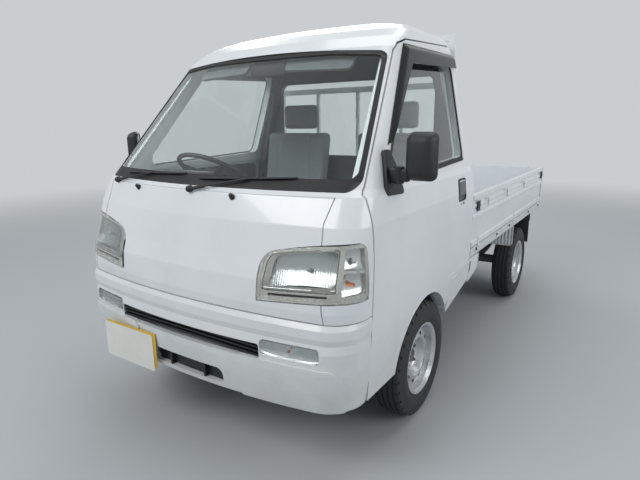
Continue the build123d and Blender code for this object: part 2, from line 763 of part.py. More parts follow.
def tyre(hand, y_place):
    """Return a plain tyre seated on its rim."""
    centre = (hand * wheel_x, y_place, axle_z)
    shoulder = tyre_radius - 6
    with BuildPart() as ring:
        with BuildSketch(Plane(origin=centre, x_dir=(hand, 0, 0), z_dir=(0, 0, hand))):
            with BuildLine():
                half = [(53, rim_radius), (57, 166), (68, 188), (tyre_width / 2, 212), (69, 238),
                        (60, shoulder), (50, tyre_radius)]
                Polyline(*half, *[(-x, radius) for x, radius in reversed(half)], close=True)
            make_face()
        revolve(axis=Axis(centre, (1, 0, 0)))
    return ring.part


# Knuckles and front suspension
lean = math.radians(kingpin_lean)


def kingpin_at(z):
    """Return how far out the left steering axis is at a height."""
    return wheel_x - z * math.tan(lean)


knuckle_low = -105.0
knuckle_high = 118.0
pin_radius = 12.0
king_pose = (kingpin_x, front_axle_y, axle_z)
arm_low_z = 132.0
arm_top_z = 148.0

with BuildPart() as knuckle_left:
    with Locations(Location(king_pose, (0, -kingpin_lean, 0))):
        with Locations((0, 0, knuckle_low)):
            Cylinder(27, knuckle_high - knuckle_low, align=(Align.CENTER, Align.CENTER, Align.MIN))
    with Locations((kingpin_x + 10, front_axle_y, axle_z)):
        Cylinder(30, 34, rotation=(0, 90, 0), align=(Align.CENTER, Align.CENTER, Align.MIN))
        Cylinder(spindle_radius, 62, rotation=(0, 90, 0), align=(Align.CENTER, Align.CENTER, Align.MIN))
    with Locations(Location(king_pose, (0, -kingpin_lean, 0))):
        Cylinder(pin_radius + running_gap, 300, mode=Mode.SUBTRACT)

with BuildPart() as knuckle_right:
    mirror(knuckle_left.part, about=Plane.YZ)

with BuildPart() as front_suspension:
    with Locations((0, front_axle_y, 235)):
        Box(620, 90, 60)
    for hand in (1, -1):
        with Locations((hand * 330, front_axle_y, 290)):
            Box(40, 60, 150)
        arm_end = hand * (kingpin_at(arm_top_z) + 14)
        with BuildSketch(Plane.XZ.offset(-front_axle_y - 22)):
            with BuildLine():
                Polyline((hand * 290, 225), (hand * 290, 200), (hand * 540, arm_low_z), (arm_end, arm_low_z),
                         (arm_end, arm_top_z), (hand * 545, arm_top_z), (hand * 340, 225), close=True)
            make_face()
        extrude(amount=44)
        with Locations(Location((hand * kingpin_x, front_axle_y, axle_z), (0, -hand * kingpin_lean, 0))):
            with Locations((0, 0, -124)):
                Cylinder(pin_radius, 60, align=(Align.CENTER, Align.CENTER, Align.MIN))
            with Locations((0, 0, 85)):
                Cylinder(pin_radius, 60, align=(Align.CENTER, Align.CENTER, Align.MIN))
            with Locations((0, 0, 130)):
                Cylinder(21, 174, align=(Align.CENTER, Align.CENTER, Align.MIN))

rear_spring_x = 440.0
with BuildPart() as rear_axle:
    with Locations((0, rear_axle_y, axle_z)):
        Cylinder(32, 2 * (wheel_x - 66), rotation=(0, 90, 0))
        Cylinder(spindle_radius, 2 * (wheel_x - 2), rotation=(0, 90, 0))
        Sphere(105)
    with Locations((0, rear_axle_y - 130, axle_z + 6)):
        Cylinder(38, 120, rotation=(90, 0, 0))

with BuildPart() as leaf_springs:
    for hand in (1, -1):
        with BuildSketch(Plane.YZ.offset(hand * rear_spring_x - 25)):
            with BuildLine():
                ThreePointArc((rear_axle_y - 480, 440), (rear_axle_y, 300), (rear_axle_y + 480, 440))
                Line((rear_axle_y + 480, 440), (rear_axle_y + 480, 452))
                ThreePointArc((rear_axle_y + 480, 452), (rear_axle_y, 324), (rear_axle_y - 480, 452))
                Line((rear_axle_y - 480, 452), (rear_axle_y - 480, 440))
            make_face()
        extrude(amount=50)
        for end in (-1, 1):
            with Locations((hand * (rear_spring_x - 25), rear_axle_y + end * 462, 452)):
                Box(80, 40, 50)

with BuildPart() as engine_block:
    with Locations((0, -640, 430)):
        Box(440, 560, 300)
    fillet(engine_block.edges().filter_by(Axis.Y), 30)
    with Locations((0, -270, 380)):
        Box(200, 240, 180)

with BuildPart() as propeller_shaft:
    start = Vector(0, -145, 370)
    stop = Vector(0, rear_axle_y - 195, axle_z + 6)
    with BuildSketch(Plane(origin=start, z_dir=stop - start)):
        Circle(28)
    extrude(amount=(stop - start).length)

with BuildPart() as fuel_tank:
    with Locations((-535, 130, 400)):
        Box(280, 560, 200)
    fillet(fuel_tank.edges(), 35)

with BuildPart() as exhaust:
    with Locations((500, 160, 420)):
        Cylinder(85, 480, rotation=(90, 0, 0))
    with BuildSketch(Plane.XZ.offset(80)):
        with Locations((500, 420)):
            Circle(20)
    extrude(amount=260)

with BuildPart() as spare_wheel:
    with Locations((0, rear_axle_y + 418, 395)):
        Cylinder(250, 120)
    fillet(spare_wheel.edges(), 30)

with BuildPart() as rear_mudguards:
    for hand in (1, -1):
        with Locations((hand * 640, rear_axle_y - 310, bed_top - sill_depth)):
            Box(160, 8, 190, align=(Align.CENTER, Align.CENTER, Align.MAX))
        with Locations((hand * 640, rear_axle_y + 318, bed_top - sill_depth)):
            Box(160, 6, 240, align=(Align.CENTER, Align.CENTER, Align.MAX))

with BuildPart() as tail_lamps:
    for hand in (1, -1):
        with Locations((hand * (half_width - 202.5), rail_back + 4, 520)):
            Box(250, 46, 100)
    fillet(tail_lamps.edges().filter_by(Axis.Y), 12)

# Cab fittings
wheel_centre = (-345.0, -1120.0, 1085.0)
column_lean = 32.0
column_radius = 36.0
steering_radius = 182.0

with BuildPart() as dashboard:
    add(cab_form(side=cab_side_wall + 4, front=nose_wall))
    with BuildSketch(Plane.YZ.offset(-760)):
        with BuildLine():
            Polyline((-1620, 820), (-1330, 820), (-1225, 900), (-1215, 985), (-1290, 1060),
                     (-1400, 1088), (-1620, 1088), close=True)
        make_face()
    extrude(amount=1520, mode=Mode.INTERSECT)
    with Locations(Location(wheel_centre, (-column_lean, 0, 0))):
        Cylinder(column_radius + 2, 400, align=(Align.CENTER, Align.CENTER, Align.MAX), mode=Mode.SUBTRACT)

with BuildPart() as steering_ring:
    with BuildSketch(Plane.XZ):
        with Locations((steering_radius, 0)):
            RegularPolygon(13, 10)
    revolve(axis=Axis.Z)

with BuildPart() as steering_wheel:
    with Locations(Location(wheel_centre, (-column_lean, 0, 0))):
        add(steering_ring.part)
        with Locations((0, 0, -28)):
            Cylinder(52, 34)
        for turn in (90, 210, 330):
            with Locations(Location((0, 0, -14), (0, 0, turn))):
                Box(steering_radius, 28, 10, align=(Align.MIN, Align.CENTER, Align.CENTER))

with BuildPart() as steering_column:
    with Locations(Location(wheel_centre, (-column_lean, 0, 0))):
        with Locations((0, 0, -51)):
            Cylinder(column_radius, 220, align=(Align.CENTER, Align.CENTER, Align.MAX))

seat_x = 318.0
with BuildPart() as seat_cushions:
    for hand in (1, -1):
        with Locations((hand * seat_x, -760, platform_top)):
            Box(470, 480, 130, align=(Align.CENTER, Align.CENTER, Align.MIN))
    fillet(seat_cushions.edges().filter_by(Axis.Z), 50)

with BuildPart() as seat_backs:
    for hand in (1, -1):
        with BuildSketch(Plane.YZ.offset(hand * seat_x - 228)):
            with BuildLine():
                Polyline((-515, 700), (-420, 1290), (-372, 1290), (-372, 700), close=True)
            make_face()
        extrude(amount=456)
        with BuildSketch(Plane.YZ.offset(hand * seat_x - 130)):
            with BuildLine():
                Polyline((-425, 1280), (-420, 1440), (-372, 1440), (-372, 1280), close=True)
            make_face()
        extrude(amount=260)

# Mirrors: a foot in the window's front corner, an arm and a head that folds back about it
mirror_foot = [(-1345, 1070), (-1204, 1064), (-1218, 1150), (-1262, 1228), (-1300, 1226)]
mirror_pivot = (half_width + 6.5, -1290.0)
mirror_head = (124.0, 60.0, 182.0)
mirror_head_z = 1206.0
mirror_arm_z = 1140.0
mirror_fold = 44.0


def door_mirror(fold):
    """Return the left door's mirror, its head folded back by an angle."""
    with BuildPart() as piece:
        with BuildSketch(Plane.YZ.offset(half_width - 60)):
            with BuildLine():
                Polyline(*mirror_foot, close=True)
            make_face()
        extrude(amount=58)
        with Locations((half_width - 12, mirror_pivot[1], mirror_arm_z)):
            Box(38, 40, 56)
        with Locations((*mirror_pivot, mirror_arm_z)):
            Cylinder(20, 56)
        with BuildPart(mode=Mode.PRIVATE) as head:
            with Locations((mirror_head[0] / 2 + 22, -8, mirror_head_z)):
                Box(*mirror_head)
            fillet(head.edges().filter_by(Axis.Y), 26)
            with Locations((18, 0, mirror_arm_z)):
                Box(36, 30, 50)
        with Locations(Location((*mirror_pivot, 0), (0, 0, fold))):
            add(head.part)
        add(cab_outer, mode=Mode.SUBTRACT)
    return piece.part


with BuildPart() as mirror_left:
    add(door_mirror(0))

with BuildPart() as mirror_right:
    mirror(door_mirror(mirror_fold), about=Plane.YZ)

# The visor's foot ends clear of the mirror's
visor_line = [(-1220, 1252), (-1245, 1240), (-925, 1640), (-340, 1652), (-340, 1585), (-900, 1560)]
visor_outer = cab_form(side=-20, front=-6)
with BuildPart() as visor_left:
    add(visor_outer)
    add(cab_form(side=-17, front=-4), mode=Mode.SUBTRACT)
    with BuildSketch(Plane.YZ.offset(500)):
        with BuildLine():
            Polyline(*visor_line, close=True)
        make_face()
    extrude(amount=300, mode=Mode.INTERSECT)

with BuildPart() as visor_right:
    mirror(visor_left.part, about=Plane.YZ)


def nose_y(x, z):
    """Return where the cab's front surface is, by interpolation between its levels."""
    above = next(index for index, level in enumerate(cab_levels) if level.z >= z)
    low, high = cab_levels[above - 1], cab_levels[above]
    share = (z - low.z) / (high.z - low.z)
    setback = low.setback + share * (high.setback - low.setback)
    sweep = low.sweep + share * (high.sweep - low.sweep)
    inset = low.inset + share * (high.inset - low.inset)
    return front_end + setback + sweep * (x / (half_width - inset)) ** 2


# Wipers, each by its pivot, the arm's joint with the blade and the blade's two ends, seen
# from the front as (x, z)
Wiper = namedtuple("Wiper", "pivot elbow blade_start blade_end")
wiper_rows = [
    Wiper((-546, 1081), (-270, 1128), (-500, 1116), (-70, 1132)),
    Wiper((0, 1079), (262, 1128), (20, 1118), (450, 1134)),
]
wiper_stand = 11.0


def rod(start, end, radius):
    """Return a round rod between two points given as (x, z) in front of the cab."""
    first = Vector(start[0], nose_y(*start) - wiper_stand - 6, start[1])
    last = Vector(end[0], nose_y(*end) - wiper_stand, end[1])
    with BuildPart() as bar:
        with BuildSketch(Plane(origin=first, z_dir=last - first)):
            Circle(radius)
        extrude(amount=(last - first).length)
    return bar.part


with BuildPart() as wipers:
    for row in wiper_rows:
        with Locations(Location((row.pivot[0], nose_y(*row.pivot) + 4, row.pivot[1]), (90, 0, 0))):
            Cylinder(13, 34, align=(Align.CENTER, Align.CENTER, Align.MIN))
        add(rod(row.pivot, row.elbow, 5))
        add(rod(row.blade_start, row.blade_end, 7))
    add(cab_outer, mode=Mode.SUBTRACT)

with BuildPart() as number_plates:
    with Locations((-345, front_end + 1, 376)):
        Box(330, 2, 165)
    with Locations((0, rail_back + 1, 520)):
        Box(330, 2, 165)

pieces = {
    "cab_shell": cab_shell.part, "cab_floor": cab_floor.part,
    "door_left": door_left.part, "door_right": door_right.part,
    "door_glass_left": door_glass_left.part, "door_glass_right": door_glass_right.part,
    "windshield": windshield.part, "windshield_gasket": windshield_gasket.part,
    "rear_window": rear_window.part, "front_panel": front_panel.part,
    "corner_panels": corner_panels.part, "headlamps": headlamps.part,
    "front_bumper": front_bumper.part, "bumper_grille": bumper_grille.part,
    "indicators": indicators.part, "ladder_frame": ladder_frame.part,
    "bed_floor": bed_floor.part, "gate_left": gate_left.part, "gate_right": gate_right.part,
    "tailgate": tailgate.part, "bed_hinges": bed_hinges.part, "headboard": headboard.part,
    "knuckle_left": knuckle_left.part, "knuckle_right": knuckle_right.part,
    "front_suspension": front_suspension.part, "rear_axle": rear_axle.part,
    "leaf_springs": leaf_springs.part, "engine_block": engine_block.part,
    "propeller_shaft": propeller_shaft.part, "fuel_tank": fuel_tank.part,
    "exhaust": exhaust.part, "spare_wheel": spare_wheel.part,
    "rear_mudguards": rear_mudguards.part, "tail_lamps": tail_lamps.part,
    "dashboard": dashboard.part, "steering_wheel": steering_wheel.part,
    "steering_column": steering_column.part, "seat_cushions": seat_cushions.part,
    "seat_backs": seat_backs.part, "mirror_left": mirror_left.part,
    "mirror_right": mirror_right.part, "visor_left": visor_left.part,
    "visor_right": visor_right.part, "wipers": wipers.part, "number_plates": number_plates.part,
}
for end, y_place in (("front", front_axle_y), ("rear", rear_axle_y)):
    for side, hand in (("left", 1), ("right", -1)):
        pieces[f"rim_{end}_{side}"] = wheel_rim(hand, y_place)
        pieces[f"tyre_{end}_{side}"] = tyre(hand, y_place)

for label, piece in pieces.items():
    piece.label = label
    export_step(piece, f"parts/{label}.step")
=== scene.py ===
"""Looks of a small cab-over pickup truck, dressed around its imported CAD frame.

Metres throughout. +X is the truck's left side, the front faces -Y and Z is up.
"""
import json
import logging
import math
from contextlib import contextmanager
from dataclasses import dataclass
from enum import Enum
from typing import Callable, Iterator, Sequence

import bpy
from mathutils import Matrix, Vector

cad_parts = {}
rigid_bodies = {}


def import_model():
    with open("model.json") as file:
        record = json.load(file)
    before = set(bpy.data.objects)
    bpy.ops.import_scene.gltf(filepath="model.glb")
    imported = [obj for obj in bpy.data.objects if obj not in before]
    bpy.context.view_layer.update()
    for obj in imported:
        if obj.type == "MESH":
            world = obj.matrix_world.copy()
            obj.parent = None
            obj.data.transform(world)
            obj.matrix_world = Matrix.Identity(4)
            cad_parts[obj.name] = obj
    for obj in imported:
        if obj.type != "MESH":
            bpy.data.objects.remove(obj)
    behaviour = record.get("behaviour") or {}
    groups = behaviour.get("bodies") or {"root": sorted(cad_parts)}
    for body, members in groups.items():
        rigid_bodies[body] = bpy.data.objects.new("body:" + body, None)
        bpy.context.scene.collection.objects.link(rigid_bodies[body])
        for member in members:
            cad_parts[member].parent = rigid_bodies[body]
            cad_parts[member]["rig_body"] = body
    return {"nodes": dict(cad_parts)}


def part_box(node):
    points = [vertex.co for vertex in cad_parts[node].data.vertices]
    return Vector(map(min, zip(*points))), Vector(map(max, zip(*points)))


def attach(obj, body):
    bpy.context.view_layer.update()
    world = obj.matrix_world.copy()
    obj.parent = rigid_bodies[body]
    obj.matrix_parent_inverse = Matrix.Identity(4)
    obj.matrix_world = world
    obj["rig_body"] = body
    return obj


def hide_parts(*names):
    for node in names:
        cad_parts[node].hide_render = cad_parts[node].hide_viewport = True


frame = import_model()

LOG = logging.getLogger("kei_truck")
MM = 0.001
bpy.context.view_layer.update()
FRONT_END = -1.6975
HALF_WIDTH = 0.7375
HANDS = (1, -1)
# Turns a drawing's x and y into the truck's y and z
SIDE_VIEW = Matrix(((0, 0, 1, 0), (1, 0, 0, 0), (0, 1, 0, 0), (0, 0, 0, 1)))
# How near points are to be one, on new pieces and on CAD copies
MERGE = 1e-6
CAD_MERGE = 1e-5
# CAD faces that meet at less than this many degrees are one flat face
FLAT_DEGREES = 0.6

Point = tuple[float, float, float]
Flat = tuple[float, float]
Corner = tuple[float, float, float]
Test = Callable[[Vector, Vector], bool]
Piece = bpy.types.Object
Place = Callable[[float, float, float], Vector]


# Bench tools
def solo(obj: Piece) -> None:
    """Select one object alone and make it active.

    Args:
        obj: The object.
    """
    bpy.ops.object.select_all(action="DESELECT")
    obj.select_set(True)
    bpy.context.view_layer.objects.active = obj


def modify(obj: Piece, kind: str, **settings: object) -> None:
    """Add a modifier to an object, set it up and apply it.

    Args:
        obj: The object to shape.
        kind: The modifier's type.
        **settings: Its properties.
    """
    solo(obj)
    step = obj.modifiers.new(kind.title(), kind)
    for name, value in settings.items():
        setattr(step, name, value)
    bpy.ops.object.modifier_apply(modifier=step.name)


@contextmanager
def picked(obj: Piece, where: Test | None = None, kind: str = "FACE") -> Iterator[None]:
    """Hold an object in edit mode with some of its faces, edges or points selected.

    Args:
        obj: The object to edit.
        where: Says what is selected by centre and normal, or for an edge by centre and direction; everything
            if left out.
        kind: FACE, EDGE or VERT.

    Yields:
        Nothing, while the object is in edit mode.
    """
    solo(obj)
    bpy.ops.object.mode_set(mode="EDIT")
    bpy.ops.mesh.select_mode(type=kind)
    bpy.ops.mesh.select_all(action="DESELECT" if where else "SELECT")
    if where:
        bpy.ops.object.mode_set(mode="OBJECT")
        mesh = obj.data
        if kind == "FACE":
            for face in mesh.polygons:
                face.select = where(face.center, face.normal)
        elif kind == "VERT":
            for point in mesh.vertices:
                point.select = where(point.co, point.normal)
        else:
            for edge in mesh.edges:
                a, b = (mesh.vertices[index].co for index in edge.vertices)
                edge.select = where((a + b) / 2, (b - a).normalized())
        bpy.ops.object.mode_set(mode="EDIT")
    try:
        yield
    finally:
        bpy.ops.object.mode_set(mode="OBJECT")


def settle(obj: Piece) -> Piece:
    """Move an object's place, turn and scale into its mesh.

    Args:
        obj: The object.

    Returns:
        The same object.
    """
    solo(obj)
    bpy.ops.object.transform_apply(location=True, rotation=True, scale=True)
    return obj


def smooth(obj: Piece, angle: float) -> Piece:
    """Shade an object smooth where its faces meet at a small angle.

    Args:
        obj: The object to shade.
        angle: The angle from which an edge stays sharp, in degrees.

    Returns:
        The same object.
    """
    solo(obj)
    bpy.ops.object.shade_smooth_by_angle(angle=math.radians(angle))
    return obj


def soften(obj: Piece, width: float, angle: float = 32.0, segments: int = 2) -> Piece:
    """Round an object's sharp edges and shade it smooth.

    Args:
        obj: The object to finish.
        width: The rounding's width in metres.
        angle: Edges sharper than this many degrees are rounded.
        segments: How many strips each rounding has.

    Returns:
        The same object.
    """
    modify(obj, "BEVEL", width=width, segments=segments, limit_method="ANGLE",
           angle_limit=math.radians(angle), use_clamp_overlap=True, miter_outer="MITER_ARC")
    return smooth(obj, max(angle, 40.0))


def copy_of(node: str) -> Piece:
    """Copy a CAD node's mesh as a clean shell, with its doubles merged and flat areas joined.

    Args:
        node: The CAD node.

    Returns:
        The new object.
    """
    obj = bpy.data.objects.new(f"{node}_skin", frame["nodes"][node].data.copy())
    bpy.context.scene.collection.objects.link(obj)
    solo(obj)
    obj.data.materials.clear()
    bpy.ops.mesh.customdata_custom_splitnormals_clear()
    with picked(obj):
        bpy.ops.mesh.remove_doubles(threshold=CAD_MERGE)
        bpy.ops.mesh.dissolve_limited(angle_limit=math.radians(FLAT_DEGREES))
    return obj


def block(low: Point, high: Point) -> Piece:
    """Add a cube between two corners.

    Args:
        low: Its lowest corner.
        high: Its highest corner.

    Returns:
        The new object.
    """
    centre = [(a + b) / 2 for a, b in zip(low, high)]
    bpy.ops.mesh.primitive_cube_add(size=1, location=centre, scale=[b - a for a, b in zip(low, high)])
    return settle(bpy.context.object)


def drum(radius: float, depth: float, centre: Point, axis: Point, sides: int = 32,
         tip: float | None = None) -> Piece:
    """Add a cylinder, or a cone if its tip has a radius of its own.

    Args:
        radius: The foot's radius.
        depth: The length along the axis.
        centre: The middle.
        axis: From foot to tip.
        sides: How many sides it has.
        tip: The tip's radius.

    Returns:
        The new object.
    """
    turn = Vector(axis).to_track_quat("Z", "Y").to_euler()
    bpy.ops.mesh.primitive_cone_add(vertices=sides, radius1=radius, radius2=radius if tip is None else tip,
                                    depth=depth, location=centre, rotation=turn)
    return settle(bpy.context.object)


def wire(points: Sequence[Point], closed: bool = False, kind: str = "POLY") -> Piece:
    """Draw a curve through points, or near them with a NURBS spline.

    Args:
        points: The curve's points.
        closed: Whether it ends where it starts.
        kind: POLY or NURBS.

    Returns:
        The new curve object.
    """
    line = bpy.data.curves.new("line", "CURVE")
    line.dimensions = "3D"
    spline = line.splines.new(kind)
    spline.points.add(len(points) - 1)
    for point, place in zip(spline.points, points):
        point.co = (*place, 1)
    spline.use_cyclic_u = closed
    if kind == "NURBS":
        spline.order_u = 3
        spline.use_endpoint_u = not closed
        line.resolution_u = 6
    obj = bpy.data.objects.new("line", line)
    bpy.context.scene.collection.objects.link(obj)
    return obj


def meshed(curve: Piece) -> Piece:
    """Turn a curve object into a mesh object.

    Args:
        curve: The curve object.

    Returns:
        The mesh object.
    """
    solo(curve)
    bpy.ops.object.convert(target="MESH")
    return bpy.context.object


def tube(points: Sequence[Point], radius: float, closed: bool = False, kind: str = "POLY",
         sides: int = 3) -> Piece:
    """Sweep a round bar along points.

    Args:
        points: The bar's centre line.
        radius: Its radius.
        closed: Whether it is a ring.
        kind: POLY for straight runs, NURBS for a bent bar.
        sides: How finely its section is divided.

    Returns:
        The new mesh object.
    """
    curve = wire(points, closed, kind)
    curve.data.bevel_depth = radius
    curve.data.bevel_resolution = sides
    curve.data.use_fill_caps = True
    return smooth(meshed(curve), 50)


def lathe(profile: Sequence[Flat], centre: Point, axis: Point, steps: int = 48,
          closed: bool = False) -> Piece:
    """Turn a profile into a body of revolution.

    Args:
        profile: Points as (place along the axis, radius).
        centre: Where the profile's zero lies.
        axis: The axis, along growing places.
        steps: How many flats make a full turn.
        closed: Whether the profile is a closed loop.

    Returns:
        The new mesh object, with its normals outwards.
    """
    obj = meshed(wire([(radius, 0.0, along) for along, radius in profile], closed))
    modify(obj, "SCREW", axis="Z", angle=2 * math.pi, steps=steps, render_steps=steps,
           use_merge_vertices=True, merge_threshold=CAD_MERGE)
    obj.rotation_euler = Vector(axis).to_track_quat("Z", "Y").to_euler()
    obj.location = centre
    return cleaned(settle(obj), 35)


def cleaned(obj: Piece, angle: float) -> Piece:
    """Merge an object's doubles, turn its faces outwards and shade it smooth.

    Args:
        obj: The object.
        angle: The angle from which an edge stays sharp, in degrees.

    Returns:
        The same object.
    """
    with picked(obj):
        bpy.ops.mesh.remove_doubles(threshold=MERGE)
        bpy.ops.mesh.normals_make_consistent(inside=False)
    return smooth(obj, angle)


def plate(outline: Sequence[Flat], thickness: float, place: Matrix) -> Piece:
    """Cut a flat plate from an outline.

    Args:
        outline: The outline's points in the plate's plane.
        thickness: Its thickness, half to each side.
        place: The matrix that puts the plate in the truck.

    Returns:
        The new mesh object.
    """
    curve = wire([(x, y, 0.0) for x, y in outline], closed=True)
    curve.data.dimensions = "2D"
    curve.data.fill_mode = "BOTH"
    curve.data.extrude = thickness / 2
    obj = meshed(curve)
    obj.matrix_world = place
    return cleaned(settle(obj), 40)


def joined(parts: Sequence[Piece]) -> Piece:
    """Join several objects into the first.

    Args:
        parts: The objects.

    Returns:
        The first object, with all the meshes.
    """
    bpy.ops.object.select_all(action="DESELECT")
    for part in parts:
        part.select_set(True)
    bpy.context.view_layer.objects.active = parts[0]
    bpy.ops.object.join()
    return bpy.context.object


def mirrored(obj: Piece) -> Piece:
    """Copy an object to the truck's other side, with its faces still outwards.

    Args:
        obj: The object.

    Returns:
        The new object.
    """
    twin = obj.copy()
    twin.data = obj.data.copy()
    bpy.context.scene.collection.objects.link(twin)
    twin.scale.x = -1
    settle(twin)
    with picked(twin):
        bpy.ops.mesh.flip_normals()
    return twin


def pair(obj: Piece) -> Piece:
    """Join an object with its mirror image on the truck's other side."""
    return joined([obj, mirrored(obj)])


def shifted(points: Sequence[Point], by: Point | Vector) -> list[Point]:
    """Return points moved by a vector."""
    return [tuple(a + b for a, b in zip(point, by)) for point in points]


def oblong(low: Flat, high: Flat, foot: float, head: float = 0.0) -> list[Corner]:
    """Return an upright oblong's corners, lower ones first.

    Args:
        low: Its lower left corner.
        high: Its upper right corner.
        foot: The lower corners' radius.
        head: The upper corners' radius, where that differs.

    Returns:
        The corners as (x, y, radius).
    """
    upper = head or foot
    return [(*low, foot), (high[0], low[1], foot), (*high, upper), (low[0], high[1], upper)]


def rounded(corners: Sequence[Corner], steps: int = 6) -> list[Flat]:
    """Round a polygon's corners.

    Args:
        corners: Each corner as (x, y, radius), in order round the outline.
        steps: How many pieces each arc has.

    Returns:
        The outline's points.
    """
    points: list[Flat] = []
    for index, (x, y, radius) in enumerate(corners):
        here = Vector((x, y))
        before = Vector(corners[index - 1][:2]) - here
        after = Vector(corners[(index + 1) % len(corners)][:2]) - here
        if radius <= 0:
            points.append((x, y))
            continue
        half = before.angle(after) / 2
        reach = min(radius / math.tan(half), 0.49 * before.length, 0.49 * after.length)
        middle = here + (before.normalized() + after.normalized()).normalized() * (reach / math.cos(half))
        first, last = here + before.normalized() * reach - middle, here + after.normalized() * reach - middle
        turn = first.angle(last)
        for step in range(steps + 1):
            share = step / steps
            spoke = (first * math.sin((1 - share) * turn) + last * math.sin(share * turn)) / math.sin(turn)
            points.append(tuple(middle + spoke))
    return points


def shrunk(corners: Sequence[Corner], amount: float) -> list[Corner]:
    """Move a polygon's edges inwards and tighten its corner radii to match.

    Args:
        corners: Its corners as (x, y, radius).
        amount: How far the edges move, outwards if negative.

    Returns:
        The new corners.
    """
    area = sum(a[0] * b[1] - b[0] * a[1] for a, b in zip(corners, (*corners[1:], corners[0])))
    hand = 1 if area > 0 else -1
    moved: list[Corner] = []
    for index, (x, y, radius) in enumerate(corners):
        here = Vector((x, y))
        along = (here - Vector(corners[index - 1][:2])).normalized()
        onward = (Vector(corners[(index + 1) % len(corners)][:2]) - here).normalized()
        one, two = Vector((-along.y, along.x)) * hand, Vector((-onward.y, onward.x)) * hand
        shift = (one + two) * (amount / (1 + one.dot(two)))
        moved.append((x + shift.x, y + shift.y, max(radius - amount, 0.001)))
    return moved


def sheet(outline: Sequence[Flat], holes: Sequence[Sequence[Flat]] = (), pitch: float = 0.02) -> Piece:
    """Fill an outline in the XY plane, less its holes, and divide it so that it can follow a surface.

    Args:
        outline: The outer outline.
        holes: Outlines of openings.
        pitch: The grid's largest step.

    Returns:
        The new flat mesh object.
    """
    line = bpy.data.curves.new("outline", "CURVE")
    line.dimensions = "2D"
    line.fill_mode = "BOTH"
    for points in (outline, *holes):
        spline = line.splines.new("POLY")
        spline.points.add(len(points) - 1)
        for point, place in zip(spline.points, points):
            point.co = (*place, 0, 1)
        spline.use_cyclic_u = True
    curve = bpy.data.objects.new("outline", line)
    bpy.context.scene.collection.objects.link(curve)
    obj = meshed(curve)
    with picked(obj):
        bpy.ops.mesh.remove_doubles(threshold=MERGE)
        bpy.ops.mesh.quads_convert_to_tris()
        for axis in (0, 1):
            low, high = (pick(point[axis] for point in outline) for pick in (min, max))
            count = math.ceil((high - low) / pitch)
            for step in range(1, count):
                cut = [0.0, 0.0, 0.0]
                cut[axis] = low + (high - low) * step / count
                bpy.ops.mesh.select_all(action="SELECT")
                bpy.ops.mesh.bisect(plane_co=cut, plane_no=(axis == 0, axis == 1, 0))
    return obj


def bend(obj: Piece, move: Callable[[Vector], Vector]) -> Piece:
    """Move every point of an object's mesh by a rule.

    Args:
        obj: The object.
        move: Gives a point's new place.

    Returns:
        The same object.
    """
    for point in obj.data.vertices:
        point.co = move(point.co)
    return obj


def crease(obj: Piece, heights: Sequence[float], width: float) -> None:
    """Round the level edges of a panel that lie at given heights, so that they read as pressed lines.

    Args:
        obj: The panel.
        heights: The edges' heights.
        width: How far they are rounded.
    """
    def level(centre: Vector, way: Vector) -> bool:
        """Choose level edges at the heights."""
        return abs(way.z) < 0.02 and any(abs(centre.z - height) < 6e-4 for height in heights)

    with picked(obj, level, "EDGE"):
        bpy.ops.mesh.bevel(offset=width, segments=3, affect="EDGES", clamp_overlap=True)


def weigh(obj: Piece) -> Piece:
    """Shade large faces flat up to their rounded edges."""
    modify(obj, "WEIGHTED_NORMAL", keep_sharp=True, weight=50)
    return obj


def carve(obj: Piece, tool: Piece) -> None:
    """Cut one object's volume out of another and throw the cutter away."""
    modify(obj, "BOOLEAN", object=tool, operation="DIFFERENCE", solver="EXACT")
    bpy.data.objects.remove(tool)


@dataclass(frozen=True)
class Level:
    """A plan section of the cab, in millimetres.

    Attributes:
        z: Its height.
        setback: How far its nose lies behind the front end.
        sweep: How far the front sweeps back at the side.
        inset: How far the side lies inside half the width.
        corner: The front corner's radius.
    """

    z: float
    setback: float
    sweep: float
    inset: float
    corner: float


